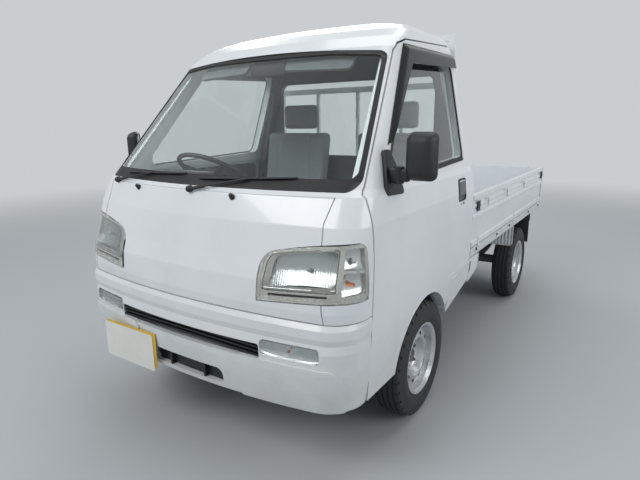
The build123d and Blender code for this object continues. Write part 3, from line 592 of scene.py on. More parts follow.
@dataclass(frozen=True)
class Hull:
    """An outer form ruled through plan sections, as the CAD's lofts are.

    Attributes:
        levels: The sections, from low to high.
        front_bow: The bowed front's length, as a share of half its width.
        corner_bow: The corner's length, as a share of its chord.
    """

    levels: Sequence[Level]
    front_bow: float = 1.006
    corner_bow: float = 1.083

    def plan(self, level: Level, u: float, lift: float) -> Flat:
        """Return a section's point.

        Args:
            level: The section.
            u: 0 on the centre line, 1 where the front meets the corner, 2 where the corner meets the side.
            lift: How far outside the section the point lies.

        Returns:
            Its x and y in metres.
        """
        half = HALF_WIDTH - level.inset * MM
        nose = FRONT_END + level.setback * MM
        sweep, corner = level.sweep * MM, level.corner * MM
        bow = (half ** 2 + sweep ** 2) / (2 * sweep)
        corner_x = half - corner
        corner_y = nose + bow - math.sqrt((bow - corner) ** 2 - corner_x ** 2)
        lean = math.atan2(corner_x, nose + bow - corner_y)
        if u <= 1:
            return (bow + lift) * math.sin(lean * u), nose + bow - (bow + lift) * math.cos(lean * u)
        turn = lean + min(u - 1, 1) * (math.pi / 2 - lean)
        back = max(u - 2, 0)
        return (corner_x + (corner + lift) * math.sin(turn),
                corner_y - (corner + lift) * math.cos(turn) + back)

    def at(self, u: float, z: float, lift: float = 0.0) -> Vector:
        """Return the form's point at a place round it.

        Args:
            u: The place, counted as in plan, negative on the right.
            z: The height.
            lift: How far outside the form the point lies.

        Returns:
            The point.
        """
        above = next((i for i, level in enumerate(self.levels) if level.z * MM >= z), len(self.levels) - 1)
        low, high = self.levels[max(above, 1) - 1], self.levels[max(above, 1)]
        share = (z - low.z * MM) / ((high.z - low.z) * MM)
        first, second = Vector(self.plan(low, abs(u), lift)), Vector(self.plan(high, abs(u), lift))
        x, y = first.lerp(second, share)
        return Vector((math.copysign(x, u), y, z))

    def search(self, axis: int, value: float, z: float, low: float, high: float) -> float:
        """Return the place round the form where a coordinate has a value, by halving.

        Args:
            axis: 0 for x, 1 for y.
            value: The coordinate.
            z: The height.
            low: The search's start.
            high: Its end.

        Returns:
            The place, as at takes it.
        """
        for _ in range(22):
            middle = (low + high) / 2
            if self.at(middle, z)[axis] < value:
                low = middle
            else:
                high = middle
        return low

    def front(self, x: float, z: float, lift: float = 0.0) -> Vector:
        """Return the form's point seen from ahead at a place."""
        return self.at(math.copysign(self.search(0, abs(x), z, 0.0, 2.0), x), z, lift)

    def side(self, y: float, z: float, lift: float = 0.0) -> Vector:
        """Return the form's point seen from the left at a place."""
        return self.at(self.search(1, y, z, 1.0, 4.5), z, lift)

    def round(self, w: float, z: float, lift: float = 0.0) -> Vector:
        """Return the form's point a given length round from the centre line.

        Args:
            w: The length in metres.
            z: The height.
            lift: How far outside the form the point lies.

        Returns:
            The point.
        """
        edge, shoulder = self.at(1, z), self.at(2, z)
        front_run = edge.x * self.front_bow
        corner_run = (shoulder - edge).length * self.corner_bow
        if w <= front_run:
            return self.at(w / front_run, z, lift)
        past = w - front_run
        if past <= corner_run:
            return self.at(1 + past / corner_run, z, lift)
        return self.at(2 + past - corner_run, z, lift)


CAB = Hull([Level(*row) for row in (
    (318, 47.5, 80, 21.5, 120), (560, 25.5, 75, 6.5, 130), (700, 13.5, 75, 2.5, 135),
    (790, 21.5, 80, 0.5, 135), (860, 42.5, 90, 0, 130), (980, 72.5, 100, 4.5, 120),
    (1076, 109.5, 112, 15.5, 110), (1100, 127.5, 120, 30.5, 105), (1620, 602.5, 66, 154.5, 72),
    (1668, 662.5, 70, 163.5, 95), (1712, 752.5, 75, 185.5, 110), (1746, 847.5, 70, 232.5, 125),
    (1770, 947.5, 50, 312.5, 130), (1780, 1007.5, 30, 397.5, 110))])
BUMPER = Hull([Level(*row) for row in (
    (298, 57.5, 86, 43.5, 150), (322, 25.5, 84, 27.5, 150), (410, 9.5, 80, 13.5, 145),
    (468, 3.5, 78, 7.5, 142), (560, 0, 76, 4.5, 140), (590, 7, 76, 5.5, 140), (612, 1, 76, 2.5, 138),
    (644, 2, 76, 1.5, 138), (662, 12, 78, 4.5, 138))])
CAB_CREASES = [level.z * MM for level in CAB.levels]
BUMPER_CREASES = [level.z * MM for level in BUMPER.levels]


# Finishes
def linear(code: str) -> tuple[float, float, float, float]:
    """Turn an sRGB hex code into a linear colour with alpha."""
    shares = [int(code[index:index + 2], 16) / 255 for index in (1, 3, 5)]
    return (*(s / 12.92 if s <= 0.04045 else ((s + 0.055) / 1.055) ** 2.4 for s in shares), 1.0)


def add_node(tree: bpy.types.NodeTree, kind: str, inputs: dict | None = None,
             **settings: object) -> bpy.types.Node:
    """Add a shader node with its settings and links.

    Args:
        tree: The material's node tree.
        kind: The node's type.
        inputs: Each socket's name or number with a value, or a socket to link.
        **settings: The node's own properties.

    Returns:
        The new node.
    """
    node = tree.nodes.new(kind)
    for name, value in settings.items():
        setattr(node, name, value)
    for key, value in (inputs or {}).items():
        if isinstance(value, bpy.types.NodeSocket):
            tree.links.new(value, node.inputs[key])
        else:
            node.inputs[key].default_value = value
    return node


def new_material(name: str) -> tuple[bpy.types.Material, bpy.types.NodeTree, bpy.types.Node]:
    """Make a material.

    Args:
        name: Its name.

    Returns:
        The material, its node tree and its main shader.
    """
    material = bpy.data.materials.new(name)
    material.use_nodes = True
    return material, material.node_tree, material.node_tree.nodes["Principled BSDF"]


@dataclass(frozen=True)
class Finish:
    """An opaque finish: a colour with slow variation, a grain, and road dust low down.

    Attributes:
        name: The real material.
        slot: The record's material slot that it usually goes on. It is not used.
        colour: Its main colour.
        shade: The colour its patches drift to.
        patch_mm: How large the patches are.
        rough: Roughness where the surface is best kept.
        worn: Roughness where it is duller.
        grain_mm: The grain's size.
        grain_depth_mm: The grain's height.
        metallic: 1 for bare metal.
        coat: The weight of a clear coat.
        dust: The colour of the dirt.
        dust_low: Height in metres where the dirt is full.
        dust_high: Height where it ends.
        dust_share: How much of the colour the dirt takes at most.
    """

    name: str
    slot: str
    colour: str
    shade: str
    patch_mm: float = 180.0
    rough: float = 0.4
    worn: float = 0.5
    grain_mm: float = 1.5
    grain_depth_mm: float = 0.03
    metallic: float = 0.0
    coat: float = 0.0
    dust: str = "#8D8679"
    dust_low: float = 0.20
    dust_high: float = 0.75
    dust_share: float = 0.0

    def build(self) -> bpy.types.Material:
        """Build the material's nodes."""
        material, tree, shader = new_material(self.name)
        place = add_node(tree, "ShaderNodeTexCoord").outputs["Object"]
        patches = add_node(tree, "ShaderNodeTexNoise", {"Vector": place, "Scale": 1 / (self.patch_mm * MM),
                                                        "Detail": 4.0, "Roughness": 0.6}).outputs["Fac"]
        share = add_node(tree, "ShaderNodeMapRange", {"Value": patches, "From Min": 0.35, "From Max": 0.7},
                         interpolation_type="SMOOTHSTEP").outputs["Result"]
        colour = add_node(tree, "ShaderNodeMix", {"Factor": share}, data_type="RGBA")
        for socket, code in ((6, self.colour), (7, self.shade)):
            colour.inputs[socket].default_value = linear(code)
        shown = colour.outputs[2]
        dirt = share
        if self.dust_share:
            height = add_node(tree, "ShaderNodeSeparateXYZ", {"Vector": place}).outputs["Z"]
            low = add_node(tree, "ShaderNodeMapRange",
                           {"Value": height, "From Min": self.dust_high, "From Max": self.dust_low,
                            "To Max": self.dust_share}, interpolation_type="SMOOTHSTEP").outputs["Result"]
            blot = add_node(tree, "ShaderNodeTexNoise", {"Vector": place, "Scale": 14.0, "Detail": 6.0,
                                                         "Roughness": 0.65}).outputs["Fac"]
            dirt = add_node(tree, "ShaderNodeMath", {0: low, 1: blot}, operation="MULTIPLY").outputs[0]
            dusted = add_node(tree, "ShaderNodeMix", {"Factor": dirt}, data_type="RGBA")
            dusted.inputs[7].default_value = linear(self.dust)
            tree.links.new(shown, dusted.inputs[6])
            shown = dusted.outputs[2]
        tree.links.new(shown, shader.inputs["Base Color"])
        gloss = add_node(tree, "ShaderNodeMapRange",
                         {"Value": dirt, "To Min": self.rough, "To Max": self.worn})
        tree.links.new(gloss.outputs["Result"], shader.inputs["Roughness"])
        grain = add_node(tree, "ShaderNodeTexNoise", {"Vector": place, "Scale": 1 / (self.grain_mm * MM),
                                                      "Detail": 3.0}).outputs["Fac"]
        bump = add_node(tree, "ShaderNodeBump", {"Height": grain, "Distance": self.grain_depth_mm * MM,
                                                 "Strength": 1.0})
        tree.links.new(bump.outputs["Normal"], shader.inputs["Normal"])
        shader.inputs["Metallic"].default_value = self.metallic
        shader.inputs["Coat Weight"].default_value = self.coat
        shader.inputs["Coat Roughness"].default_value = 0.06
        return material


@dataclass(frozen=True)
class Clear:
    """Glass or a clear moulded lens, which lets lamp light through to what lies behind.

    Attributes:
        name: The real material.
        slot: The record's material slot that it usually goes on. It is not used.
        tint: The colour that it lets through.
        rough: Its roughness.
        ior: Its refraction.
        rib_mm: The pitch of moulded flutes across X, or 0 for none.
        rib_depth_mm: The flutes' depth.
    """

    name: str
    slot: str
    tint: str
    rough: float = 0.0
    ior: float = 1.45
    rib_mm: float = 0.0
    rib_depth_mm: float = 0.4

    def build(self) -> bpy.types.Material:
        """Build the material's nodes."""
        material, tree, shader = new_material(self.name)
        shader = tree.nodes["Principled BSDF"]
        place = add_node(tree, "ShaderNodeTexCoord").outputs["Object"]
        haze = add_node(tree, "ShaderNodeTexNoise",
                        {"Vector": place, "Scale": 9.0, "Detail": 5.0}).outputs["Fac"]
        film = add_node(tree, "ShaderNodeMapRange", {"Value": haze, "From Min": 0.4, "From Max": 0.8,
                                                     "To Min": self.rough, "To Max": self.rough + 0.03})
        tree.links.new(film.outputs["Result"], shader.inputs["Roughness"])
        shader.inputs["Base Color"].default_value = linear(self.tint)
        shader.inputs["Transmission Weight"].default_value = 1.0
        shader.inputs["IOR"].default_value = self.ior
        if self.rib_mm:
            flutes = add_node(tree, "ShaderNodeTexWave",
                              {"Vector": place, "Scale": math.pi / (10 * self.rib_mm * MM)},
                              bands_direction="X", wave_profile="SIN").outputs["Fac"]
            bump = add_node(tree, "ShaderNodeBump", {"Height": flutes, "Distance": self.rib_depth_mm * MM})
            tree.links.new(bump.outputs["Normal"], shader.inputs["Normal"])
        path = add_node(tree, "ShaderNodeLightPath").outputs["Is Shadow Ray"]
        open_way = add_node(tree, "ShaderNodeBsdfTransparent", {"Color": linear(self.tint)})
        both = add_node(tree, "ShaderNodeMixShader", {0: path, 1: shader.outputs["BSDF"],
                                                      2: open_way.outputs["BSDF"]})
        tree.links.new(both.outputs["Shader"], tree.nodes["Material Output"].inputs["Surface"])
        return material


class Stock(Enum):
    """The finishes that the truck is made of."""

    # Baked acrylic enamel over pressed steel: glossy, with a clear coat and faint orange peel
    ENAMEL = Finish("baked_white_enamel", "white_paint", "#E6E9EB", "#DFE3E6", 420, 0.24, 0.38, 5.0, 0.012,
                    coat=0.5, dust_share=0.45)
    # Painted bumper moulding: the same white, a little flatter and warmer than the steel beside it
    BUMPER = Finish("painted_polypropylene", "white_paint", "#E4E7E8", "#DBDFE1", 260, 0.30, 0.45, 4.0, 0.015,
                    coat=0.3, dust_share=0.5)
    # Bed enamel, scuffed dull by loads
    BED = Finish("scuffed_bed_enamel", "white_paint", "#D3D8DB", "#CACFD2", 90, 0.42, 0.60, 2.5, 0.03,
                 dust_share=0.2)
    # Brushed-on chassis black over hot-rolled steel, dusty
    CHASSIS = Finish("chassis_black", "dark_paint", "#1C1D1E", "#2B2A28", 60, 0.5, 0.75, 1.6, 0.08,
                     dust="#6E6558", dust_high=0.62, dust_share=0.7)
    # Sand-cast iron with a rusty bloom
    IRON = Finish("cast_iron", "cast_iron", "#3A3735", "#4E3B30", 40, 0.6, 0.85, 2.2, 0.15, metallic=0.35,
                  dust="#6E6558", dust_share=0.5)
    # Wheel silver sprayed on pressed steel: a metallic paint, bright on its crests
    WHEEL = Finish("wheel_silver", "steel_wheel", "#D2D5D8", "#BFC3C6", 45, 0.26, 0.40, 1.2, 0.02,
                   metallic=0.6, dust="#8A8373", dust_high=0.45, dust_share=0.2)
    # Carbon-black tyre rubber, chalky with dry mud low down
    TYRE = Finish("tyre_rubber", "tyre_rubber", "#131314", "#1C1B1A", 30, 0.72, 0.9, 1.2, 0.08,
                  dust="#5B564C", dust_high=0.5, dust_share=0.45)
    # Extruded EPDM seal: matt and even
    SEAL = Finish("epdm_seal", "seal_rubber", "#101112", "#17181A", 70, 0.5, 0.62, 1.0, 0.02)
    # Black ABS with a moulded leather grain
    BLACK = Finish("grained_black_abs", "black_plastic", "#1A1B1E", "#222428", 120, 0.46, 0.58, 1.1, 0.06)
    # Embossed vinyl on the cabin's walls and floor: dull and a little uneven; its dark grey is partly the
    # vinyl's own colour and partly painted shade inside the cab
    LINING = Finish("cabin_vinyl_lining_painted_shade", "white_paint", "#484B4E", "#3F4245", 140, 0.6, 0.75, 2.0, 0.08)
    # Grey cabin moulding
    GREY = Finish("grained_grey_polypropylene", "grey_plastic", "#6C7073", "#62666A", 160, 0.55, 0.68, 1.3,
                  0.06)
    # Dark cabin moulding
    CABIN = Finish("cabin_dark_moulding", "grey_plastic", "#3C3F42", "#34373A", 160, 0.55, 0.68, 1.3, 0.06)
    # Woven seat cloth; its grain is drawn at twice the weave's real pitch so that it shows
    CLOTH = Finish("seat_cloth", "seat_cloth", "#50545A", "#464A50", 60, 0.85, 0.95, 2.4, 0.25)
    # White plate enamel
    PLATE = Finish("plate_enamel", "plate_white", "#E9E9E4", "#E0E0DA", 200, 0.35, 0.45, 3.0, 0.01)
    # Vacuum-metallised reflector behind the lamp lens
    REFLECTOR = Finish("metallised_reflector", "lamp_clear", "#DADCDD", "#C8CBCD", 25, 0.12, 0.22, 6.0, 0.02,
                       metallic=1.0)
    # Silver-painted lamp bezel
    BEZEL = Finish("silver_lamp_bezel", "lamp_clear", "#C4C4C1", "#B2B1AD", 40, 0.25, 0.35, 2.0, 0.02,
                   metallic=0.35)
    # The lamp's inner bezel: the same silver paint, darker because it lies deep under the cover
    BEZEL_DARK = Finish("shaded_silver_bezel", "lamp_clear", "#A3A29E", "#918F8B", 40, 0.30, 0.42, 2.0, 0.02,
                        metallic=0.45)
    # Frosted bulb glass and its tin cap
    BULB = Finish("bulb_glass", "lamp_clear", "#A8ABAD", "#B5B8BA", 12, 0.15, 0.25, 4.0, 0.01, metallic=0.1)
    # Yellow plate enamel, of which only an edge shows
    YELLOW = Finish("yellow_plate_enamel", "plate_white", "#DDB52A", "#CFA825", 120, 0.35, 0.45, 3.0, 0.01)
    # Laminated glass with a faint green tint
    GLASS = Clear("laminated_glass", "glass", "#F1F6F4")
    # Moulded clear polycarbonate of the front lamps' covers and lenses
    LENS = Clear("clear_polycarbonate", "lamp_clear", "#F2F4F3", 0.02, 1.49)
    # Smoked acrylic of the rain visors, nearly black with a purple cast
    SMOKE = Clear("smoked_acrylic", "smoked_plastic", "#2B252B", 0.03, 1.49)
    # Red moulded lens
    RED = Clear("red_lens", "lamp_red", "#C01818", 0.05, 1.49, rib_mm=6.0)
    # Amber lens and bulb glass
    AMBER = Clear("amber_glass", "lamp_clear", "#E07A28", 0.05, 1.49)

    @property
    def material(self) -> bpy.types.Material:
        """Return the finish's material, built on its first use."""
        return bpy.data.materials.get(self.value.name) or self.value.build()


def hand_over(obj: Piece, name: str, stock: Stock, replaces: Sequence[str] = (),
              body: str = "truck") -> Piece:
    """Name a finished piece, dress it, seat it on its body and report it.

    Args:
        obj: The finished object.
        name: The piece's name.
        stock: Its finish.
        replaces: The CAD nodes it stands for.
        body: The body it rides on.

    Returns:
        The same object.
    """
    obj.name = name
    obj.data.name = name
    obj.data.materials.clear()
    obj.data.materials.append(stock.material)
    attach(obj, body)
    if replaces:
        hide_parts(*replaces)
    LOG.info("%s on %s: %d faces", name, body, len(obj.data.polygons))
    return obj


def body_of(node: str) -> str:
    """Return the body that a CAD node rides on."""
    return frame["nodes"][node]["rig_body"]


# Sub-assemblies
def fitted(corners: Sequence[Corner], place: Place, lift_mm: float, depth_mm: float, edge_mm: float,
           pitch: float = 0.03, holes: Sequence[Sequence[Corner]] = ()) -> Piece:
    """Press a sheet on to a surface.

    Args:
        corners: The sheet's corners in the surface's two coordinates.
        place: Gives the surface's point for the two coordinates and a lift.
        lift_mm: How far outside the surface the sheet's face lies.
        depth_mm: Its thickness, inwards.
        edge_mm: How far its edges are rounded, or 0 for sharp ones.
        pitch: How finely it is divided, in metres.
        holes: The corners of its openings.

    Returns:
        The finished piece, on the truck's left or across its front.
    """
    flat = sheet(rounded(corners), [rounded(hole) for hole in holes], pitch)
    obj = bend(flat, lambda point: place(point.x, point.y, lift_mm * MM))
    modify(obj, "SOLIDIFY", thickness=depth_mm * MM, offset=-1)
    return soften(obj, edge_mm * MM, 50) if edge_mm else smooth(obj, 50)


@dataclass
class Panels:
    """The hard panels: each CAD node's own surface, its edges rounded as the press rounds them.

    Attributes:
        rows: Each node with its finish and its edges' rounding in millimetres.
        bare: The panes that are used as they are.
        slots: Nodes whose material slot isn't their finish's usual one. It is not used.
        creased: The nodes with the cab's pressed lines.
        crease_width: How far the pressed lines are rounded.
        bumper_pad: A lower corner pad, as length round the bumper from its middle, and height.
        sill_cut: The sill's side view below the door's slanted edge, which the photograph leaves open.
        sill_x: The middle of that cut across the truck.
        cabin_middle: The point that the shell's inward faces look at.
        sill_height: The lining's lowest place.
        nose_end: The lining's foremost place.
        front_half: How far from the centre line the front's skin is told from its lining.
        skin: How far behind the front's surface its outer skin ends.
        inner_side: How far inside the truck's side its outer skin ends.
        belt: Above this height the cab's sides lean in.
        side_lean: How far they lean in, for each metre of height.
    """

    rows: Sequence[tuple[str, Stock, float]] = (
        # cab_floor takes the lining's dark grey, which is partly painted shade inside the cab
        ("cab_shell", Stock.ENAMEL, 2.5), ("cab_floor", Stock.LINING, 2.0),
        ("door_left", Stock.ENAMEL, 2.5), ("door_right", Stock.ENAMEL, 2.5),
        ("front_panel", Stock.ENAMEL, 2.5), ("corner_panels", Stock.ENAMEL, 2.5),
        ("front_bumper", Stock.BUMPER, 3.5), ("bumper_grille", Stock.BLACK, 1.0),
        ("bed_floor", Stock.BED, 2.0), ("bed_hinges", Stock.ENAMEL, 0.6),
        ("gate_left", Stock.ENAMEL, 1.5), ("gate_right", Stock.ENAMEL, 1.5), ("tailgate", Stock.ENAMEL, 1.5),
        ("headboard", Stock.ENAMEL, 2.5), ("ladder_frame", Stock.CHASSIS, 3.0),
        ("knuckle_left", Stock.IRON, 2.0), ("knuckle_right", Stock.IRON, 2.0),
        ("front_suspension", Stock.CHASSIS, 2.0), ("rear_axle", Stock.IRON, 2.0),
        ("leaf_springs", Stock.CHASSIS, 2.0), ("engine_block", Stock.IRON, 6.0),
        ("propeller_shaft", Stock.CHASSIS, 1.5), ("fuel_tank", Stock.CHASSIS, 2.0),
        ("exhaust", Stock.IRON, 3.0), ("spare_wheel", Stock.TYRE, 3.0),
        ("dashboard", Stock.CABIN, 8.0), ("steering_column", Stock.BLACK, 2.0),
    )
    bare: Sequence[str] = ("rear_window", "door_glass_left", "door_glass_right")
    slots: Sequence[tuple[str, str]] = (("steering_column", "grey_plastic"),)
    creased: Sequence[str] = ("cab_shell", "door_left", "door_right", "front_panel", "corner_panels")
    crease_width: float = 5 * MM
    bumper_pad: Sequence[Corner] = (
        (0.296, 0.304, 0.030), (0.700, 0.304, 0.050), (0.735, 0.420, 0.080), (0.676, 0.500, 0.040),
        (0.276, 0.500, 0.030))
    sill_cut: Sequence[Flat] = (
        (-0.720, 0.380), (-0.664, 0.4055), (-0.334, 0.495), (-0.160, 0.495), (-0.160, 0.380))
    sill_x: float = 0.70
    cabin_middle: Point = (0, -0.9, 1.15)
    sill_height: float = 0.42
    nose_end: float = -1.62
    front_half: float = 0.6
    skin: float = 0.012
    inner_side: float = 0.045
    belt: float = 1.1
    side_lean: float = 0.3

    def dressed(self, node: str, edge_mm: float) -> Piece:
        """Copy a node and round its edges and pressed lines.

        Args:
            node: The CAD node.
            edge_mm: Its edges' rounding.

        Returns:
            The finished copy.
        """
        obj = copy_of(node)
        if node == "cab_shell":
            for hand in HANDS:
                place = Matrix.Translation((hand * self.sill_x, 0, 0)) @ SIDE_VIEW
                carve(obj, plate(self.sill_cut, 0.30, place))
        if node in self.creased:
            crease(obj, CAB_CREASES, self.crease_width)
        elif node == "front_bumper":
            crease(obj, BUMPER_CREASES, self.crease_width)
        return weigh(soften(obj, edge_mm * MM))

    def is_lining(self, place: Vector, normal: Vector) -> bool:
        """Say whether one of the shell's faces belongs to its lining.

        Args:
            place: The face's centre.
            normal: Its normal.

        Returns:
            True for a face inside the cabin.
        """
        if place.z < self.sill_height or place.y < self.nose_end:
            return False
        lean = self.side_lean * max(place.z - self.belt, 0)
        deep = abs(place.x) < HALF_WIDTH - self.inner_side - lean
        ahead = abs(place.x) < self.front_half and place.y <= CAB.front(place.x, place.z).y + self.skin
        return normal.dot(Vector(self.cabin_middle) - place) > 0 and deep and not ahead

    def line_and_shade_cabin(self, shell: Piece) -> None:
        """Give the shell's inward faces the cabin's vinyl lining, darkened as painted shade inside the cab.

        Args:
            shell: The cab's shell.
        """
        # The inward faces take the darker lining colour: painted shade inside the cab
        shell.data.materials.append(Stock.LINING.material)
        for face in shell.data.polygons:
            if self.is_lining(face.center, face.normal):
                face.material_index = 1

    def bumper_mouldings(self) -> Piece:
        """Mould the raised pads of the bumper's lower corners, which run on below the indicators."""
        return weigh(pair(fitted(self.bumper_pad, BUMPER.round, 8, 18, 6, 0.02)))

    def build(self) -> None:
        """Finish every panel."""
        hand_over(self.bumper_mouldings(), "bumper_lower_mouldings", Stock.BUMPER)
        for node, stock, edge_mm in self.rows:
            panel = hand_over(self.dressed(node, edge_mm), f"{node}_panel", stock, [node], body_of(node))
            if node == "cab_shell":
                self.line_and_shade_cabin(panel)
        for node in self.bare:
            for seat in frame["nodes"][node].material_slots:
                seat.material = Stock.GLASS.material


@dataclass
class Screen:
    """The windshield: laminated glass in a slim rubber lip, wider at the cowl.

    Attributes:
        foot: The opening's lower corner, as x and z.
        head: Its upper corner.
        crown: Its top on the centre line.
        crown_share: Where the top's bow has its corner, as a share of the head's x.
        crown_drop: How far that corner lies below the crown.
        crown_radius: Its radius.
        lip: How much of the lip shows at the sides and the top.
        sill: How much shows along the cowl.
        radius: The opening's corner radius.
        tuck: How far the glass reaches under the lip.
    """

    foot: Flat = (0.680, 1.092)
    head: Flat = (0.570, 1.597)
    crown: float = 1.621
    crown_share: float = 0.62
    crown_drop: float = 0.007
    crown_radius: float = 0.3
    lip: float = 0.016
    sill: float = 0.040
    radius: float = 0.040
    tuck: float = 0.006

    def corners(self, around: float, low: float, radius: float) -> list[Corner]:
        """Return the opening's corners, moved in.

        Args:
            around: How far they move in at the sides and the top.
            low: How far they move in at the foot.
            radius: Their radius.

        Returns:
            Six corners, from the lower one on the left round to the lower one on the right.
        """
        slope = (self.foot[0] - self.head[0]) / (self.head[1] - self.foot[1])
        foot_x = self.foot[0] - around - slope * low
        head_x = self.head[0] - around + slope * around
        left = [(foot_x, self.foot[1] + low, radius), (head_x, self.head[1] - around, radius),
                (self.crown_share * head_x, self.crown - around - self.crown_drop, self.crown_radius)]
        return [*left, *[(-x, z, bow) for x, z, bow in reversed(left)]]

    def build(self) -> None:
        """Make the lip with its wide foot, and the glass."""
        outer = self.corners(0.0, 0.0, self.radius)
        inner = self.corners(self.lip, self.sill, self.radius - self.lip)
        edge = self.corners(self.lip - self.tuck, self.sill - self.tuck, self.radius)
        hand_over(fitted(outer, CAB.front, 0.0, 12.5, 2, holes=[inner]), "windshield_lip", Stock.SEAL,
                  ["windshield_gasket"])
        hand_over(fitted(edge, CAB.front, -4, 4.5, 0), "windshield_glass", Stock.GLASS, ["windshield"])


@dataclass
class Lamps:
    """Headlamps and indicators, built in layers behind their clear covers.

    Outlines are (w, z, radius) in metres, with w measured round the body from the centre line.

    Attributes:
        outline: The whole headlamp.
        frame_cell: The inner frame round the main reflector.
        main_cell: The main reflector.
        turn_cell: The turn lamp's reflector.
        side_cell: The position lamp's reflector.
        slot: The dark slot under the main reflector.
        strip: The bright strip over the slot, as w and z.
        band: How wide the silver band round the lamp is.
        bulb_profile: A bulb's profile in shares of its radius.
        bulbs: Each bulb's name, finish, w, z, depth and radius in millimetres.
        indicator: The indicator in the bumper.
        indicator_bulb: Its bulb's x, z, depth and radius in millimetres.
    """

    outline: Sequence[Corner] = (
        (0.380, 0.718, 0.004), (0.684, 0.7385, 0.05), (0.8140, 0.7385, 0.028), (0.8060, 0.790, 0.3),
        (0.7800, 0.870, 0.3), (0.7650, 0.9330, 0.028), (0.575, 0.9175, 0.3), (0.383, 0.888, 0.055))
    frame_cell: Sequence[Corner] = (
        (0.400, 0.757, 0.006), (0.678, 0.774, 0.004), (0.670, 0.911, 0.006), (0.408, 0.882, 0.050))
    main_cell: Sequence[Corner] = (
        (0.428, 0.774, 0.006), (0.675, 0.790, 0.006), (0.667, 0.9080, 0.006), (0.434, 0.8760, 0.040))
    turn_cell: Sequence[Corner] = (
        (0.700, 0.760, 0.008), (0.798, 0.762, 0.020), (0.786, 0.832, 0.010), (0.697, 0.838, 0.006))
    side_cell: Sequence[Corner] = (
        (0.696, 0.848, 0.006), (0.781, 0.842, 0.010), (0.757, 0.918, 0.016), (0.688, 0.912, 0.010))
    slot: Sequence[Corner] = (
        (0.424, 0.7385, 0.003), (0.650, 0.7545, 0.003), (0.650, 0.7630, 0.003), (0.424, 0.7485, 0.003))
    strip: Sequence[Flat] = ((0.404, 0.7645), (0.540, 0.7725), (0.676, 0.7815))
    band: float = 0.011
    bulb_profile: Sequence[Flat] = (
        (0.0, 0.0), (0.0, 0.45), (0.5, 0.5), (0.9, 0.92), (1.5, 1.0), (2.0, 0.75), (2.3, 0.35), (2.36, 0.0))
    bulbs: Sequence[tuple[str, Stock, float, float, float, float]] = (
        ("headlamp_bulbs", Stock.BULB, 0.565, 0.835, 40, 9),
        ("position_bulbs", Stock.BULB, 0.729, 0.874, 28, 9),
        ("turn_bulbs", Stock.AMBER, 0.742, 0.797, 27, 8))
    indicator: Sequence[Corner] = (
        (0.397, 0.522, 0.012), (0.624, 0.522, 0.012), (0.624, 0.574, 0.026), (0.397, 0.574, 0.012))
    indicator_bulb: tuple[float, float, float, float] = (0.512, 0.549, 15, 5)

    def bowl(self, corners: Sequence[Corner], rim_mm: float, deep_mm: float,
             place: Place = CAB.round) -> Piece:
        """Press a reflector bowl that sinks from its rim to its middle.

        Args:
            corners: Its outline.
            rim_mm: The lift at its rim.
            deep_mm: How much deeper its middle lies.
            place: The surface that it lies behind.

        Returns:
            The bowl.
        """
        spans = [(min(values), max(values)) for values in list(zip(*corners))[:2]]
        middle = [(low + high) / 2 for low, high in spans]
        half = [(high - low) / 2 for low, high in spans]

        def sink(point: Vector) -> Vector:
            """Return the bowl's point for a point of its outline's plane."""
            away = ((point.x - middle[0]) / half[0]) ** 2 + ((point.y - middle[1]) / half[1]) ** 2
            return place(point.x, point.y, rim_mm * MM - deep_mm * MM * max(1 - away / 1.5, 0) ** 0.7)

        obj = bend(sheet(rounded(corners), (), 0.006), sink)
        modify(obj, "SOLIDIFY", thickness=1.2 * MM, offset=-1)
        return smooth(obj, 60)

    def ribbed(self, corners: Sequence[Corner], place: Place, lift_mm: float, depth_mm: float, wave_mm: float,
               pitch_mm: float) -> Piece:
        """Mould a lens that is smooth outside and has upright flutes inside.

        Args:
            corners: Its outline.
            place: The surface that it follows.
            lift_mm: The lift of its outer face.
            depth_mm: Its mean thickness.
            wave_mm: How far its flutes rise and sink.
            pitch_mm: The flutes' spacing.

        Returns:
            The lens.
        """
        lift, depth, wave, pitch = (value * MM for value in (lift_mm, depth_mm, wave_mm, pitch_mm))
        flat = sheet(rounded(corners), (), pitch / 5)
        spots = [vertex.co.copy() for vertex in flat.data.vertices]
        obj = bend(flat, lambda point: place(point.x, point.y, lift))
        modify(obj, "SOLIDIFY", thickness=depth, offset=-1)
        for vertex, spot in zip(obj.data.vertices[len(spots):], spots):
            vertex.co = place(spot.x, spot.y, lift - depth - wave * math.cos(2 * math.pi * spot.x / pitch))
        return smooth(obj, 60)

    def bulb(self, w: float, z: float, deep_mm: float, radius_mm: float,
             place: Place = CAB.round) -> Piece:
        """Turn a bulb that points forwards out of its bowl.

        Args:
            w: Its place round the body.
            z: Its height.
            deep_mm: How far behind the surface its foot lies.
            radius_mm: Its radius.
            place: The surface that it lies behind.

        Returns:
            The bulb.
        """
        deep, size = deep_mm * MM, radius_mm * MM
        foot, tip = place(w, z, -deep), place(w, z, -deep + 2.4 * size)
        profile = [(along * size, wide * size) for along, wide in self.bulb_profile]
        return lathe(profile, tuple(foot), tuple(tip - foot), 20)

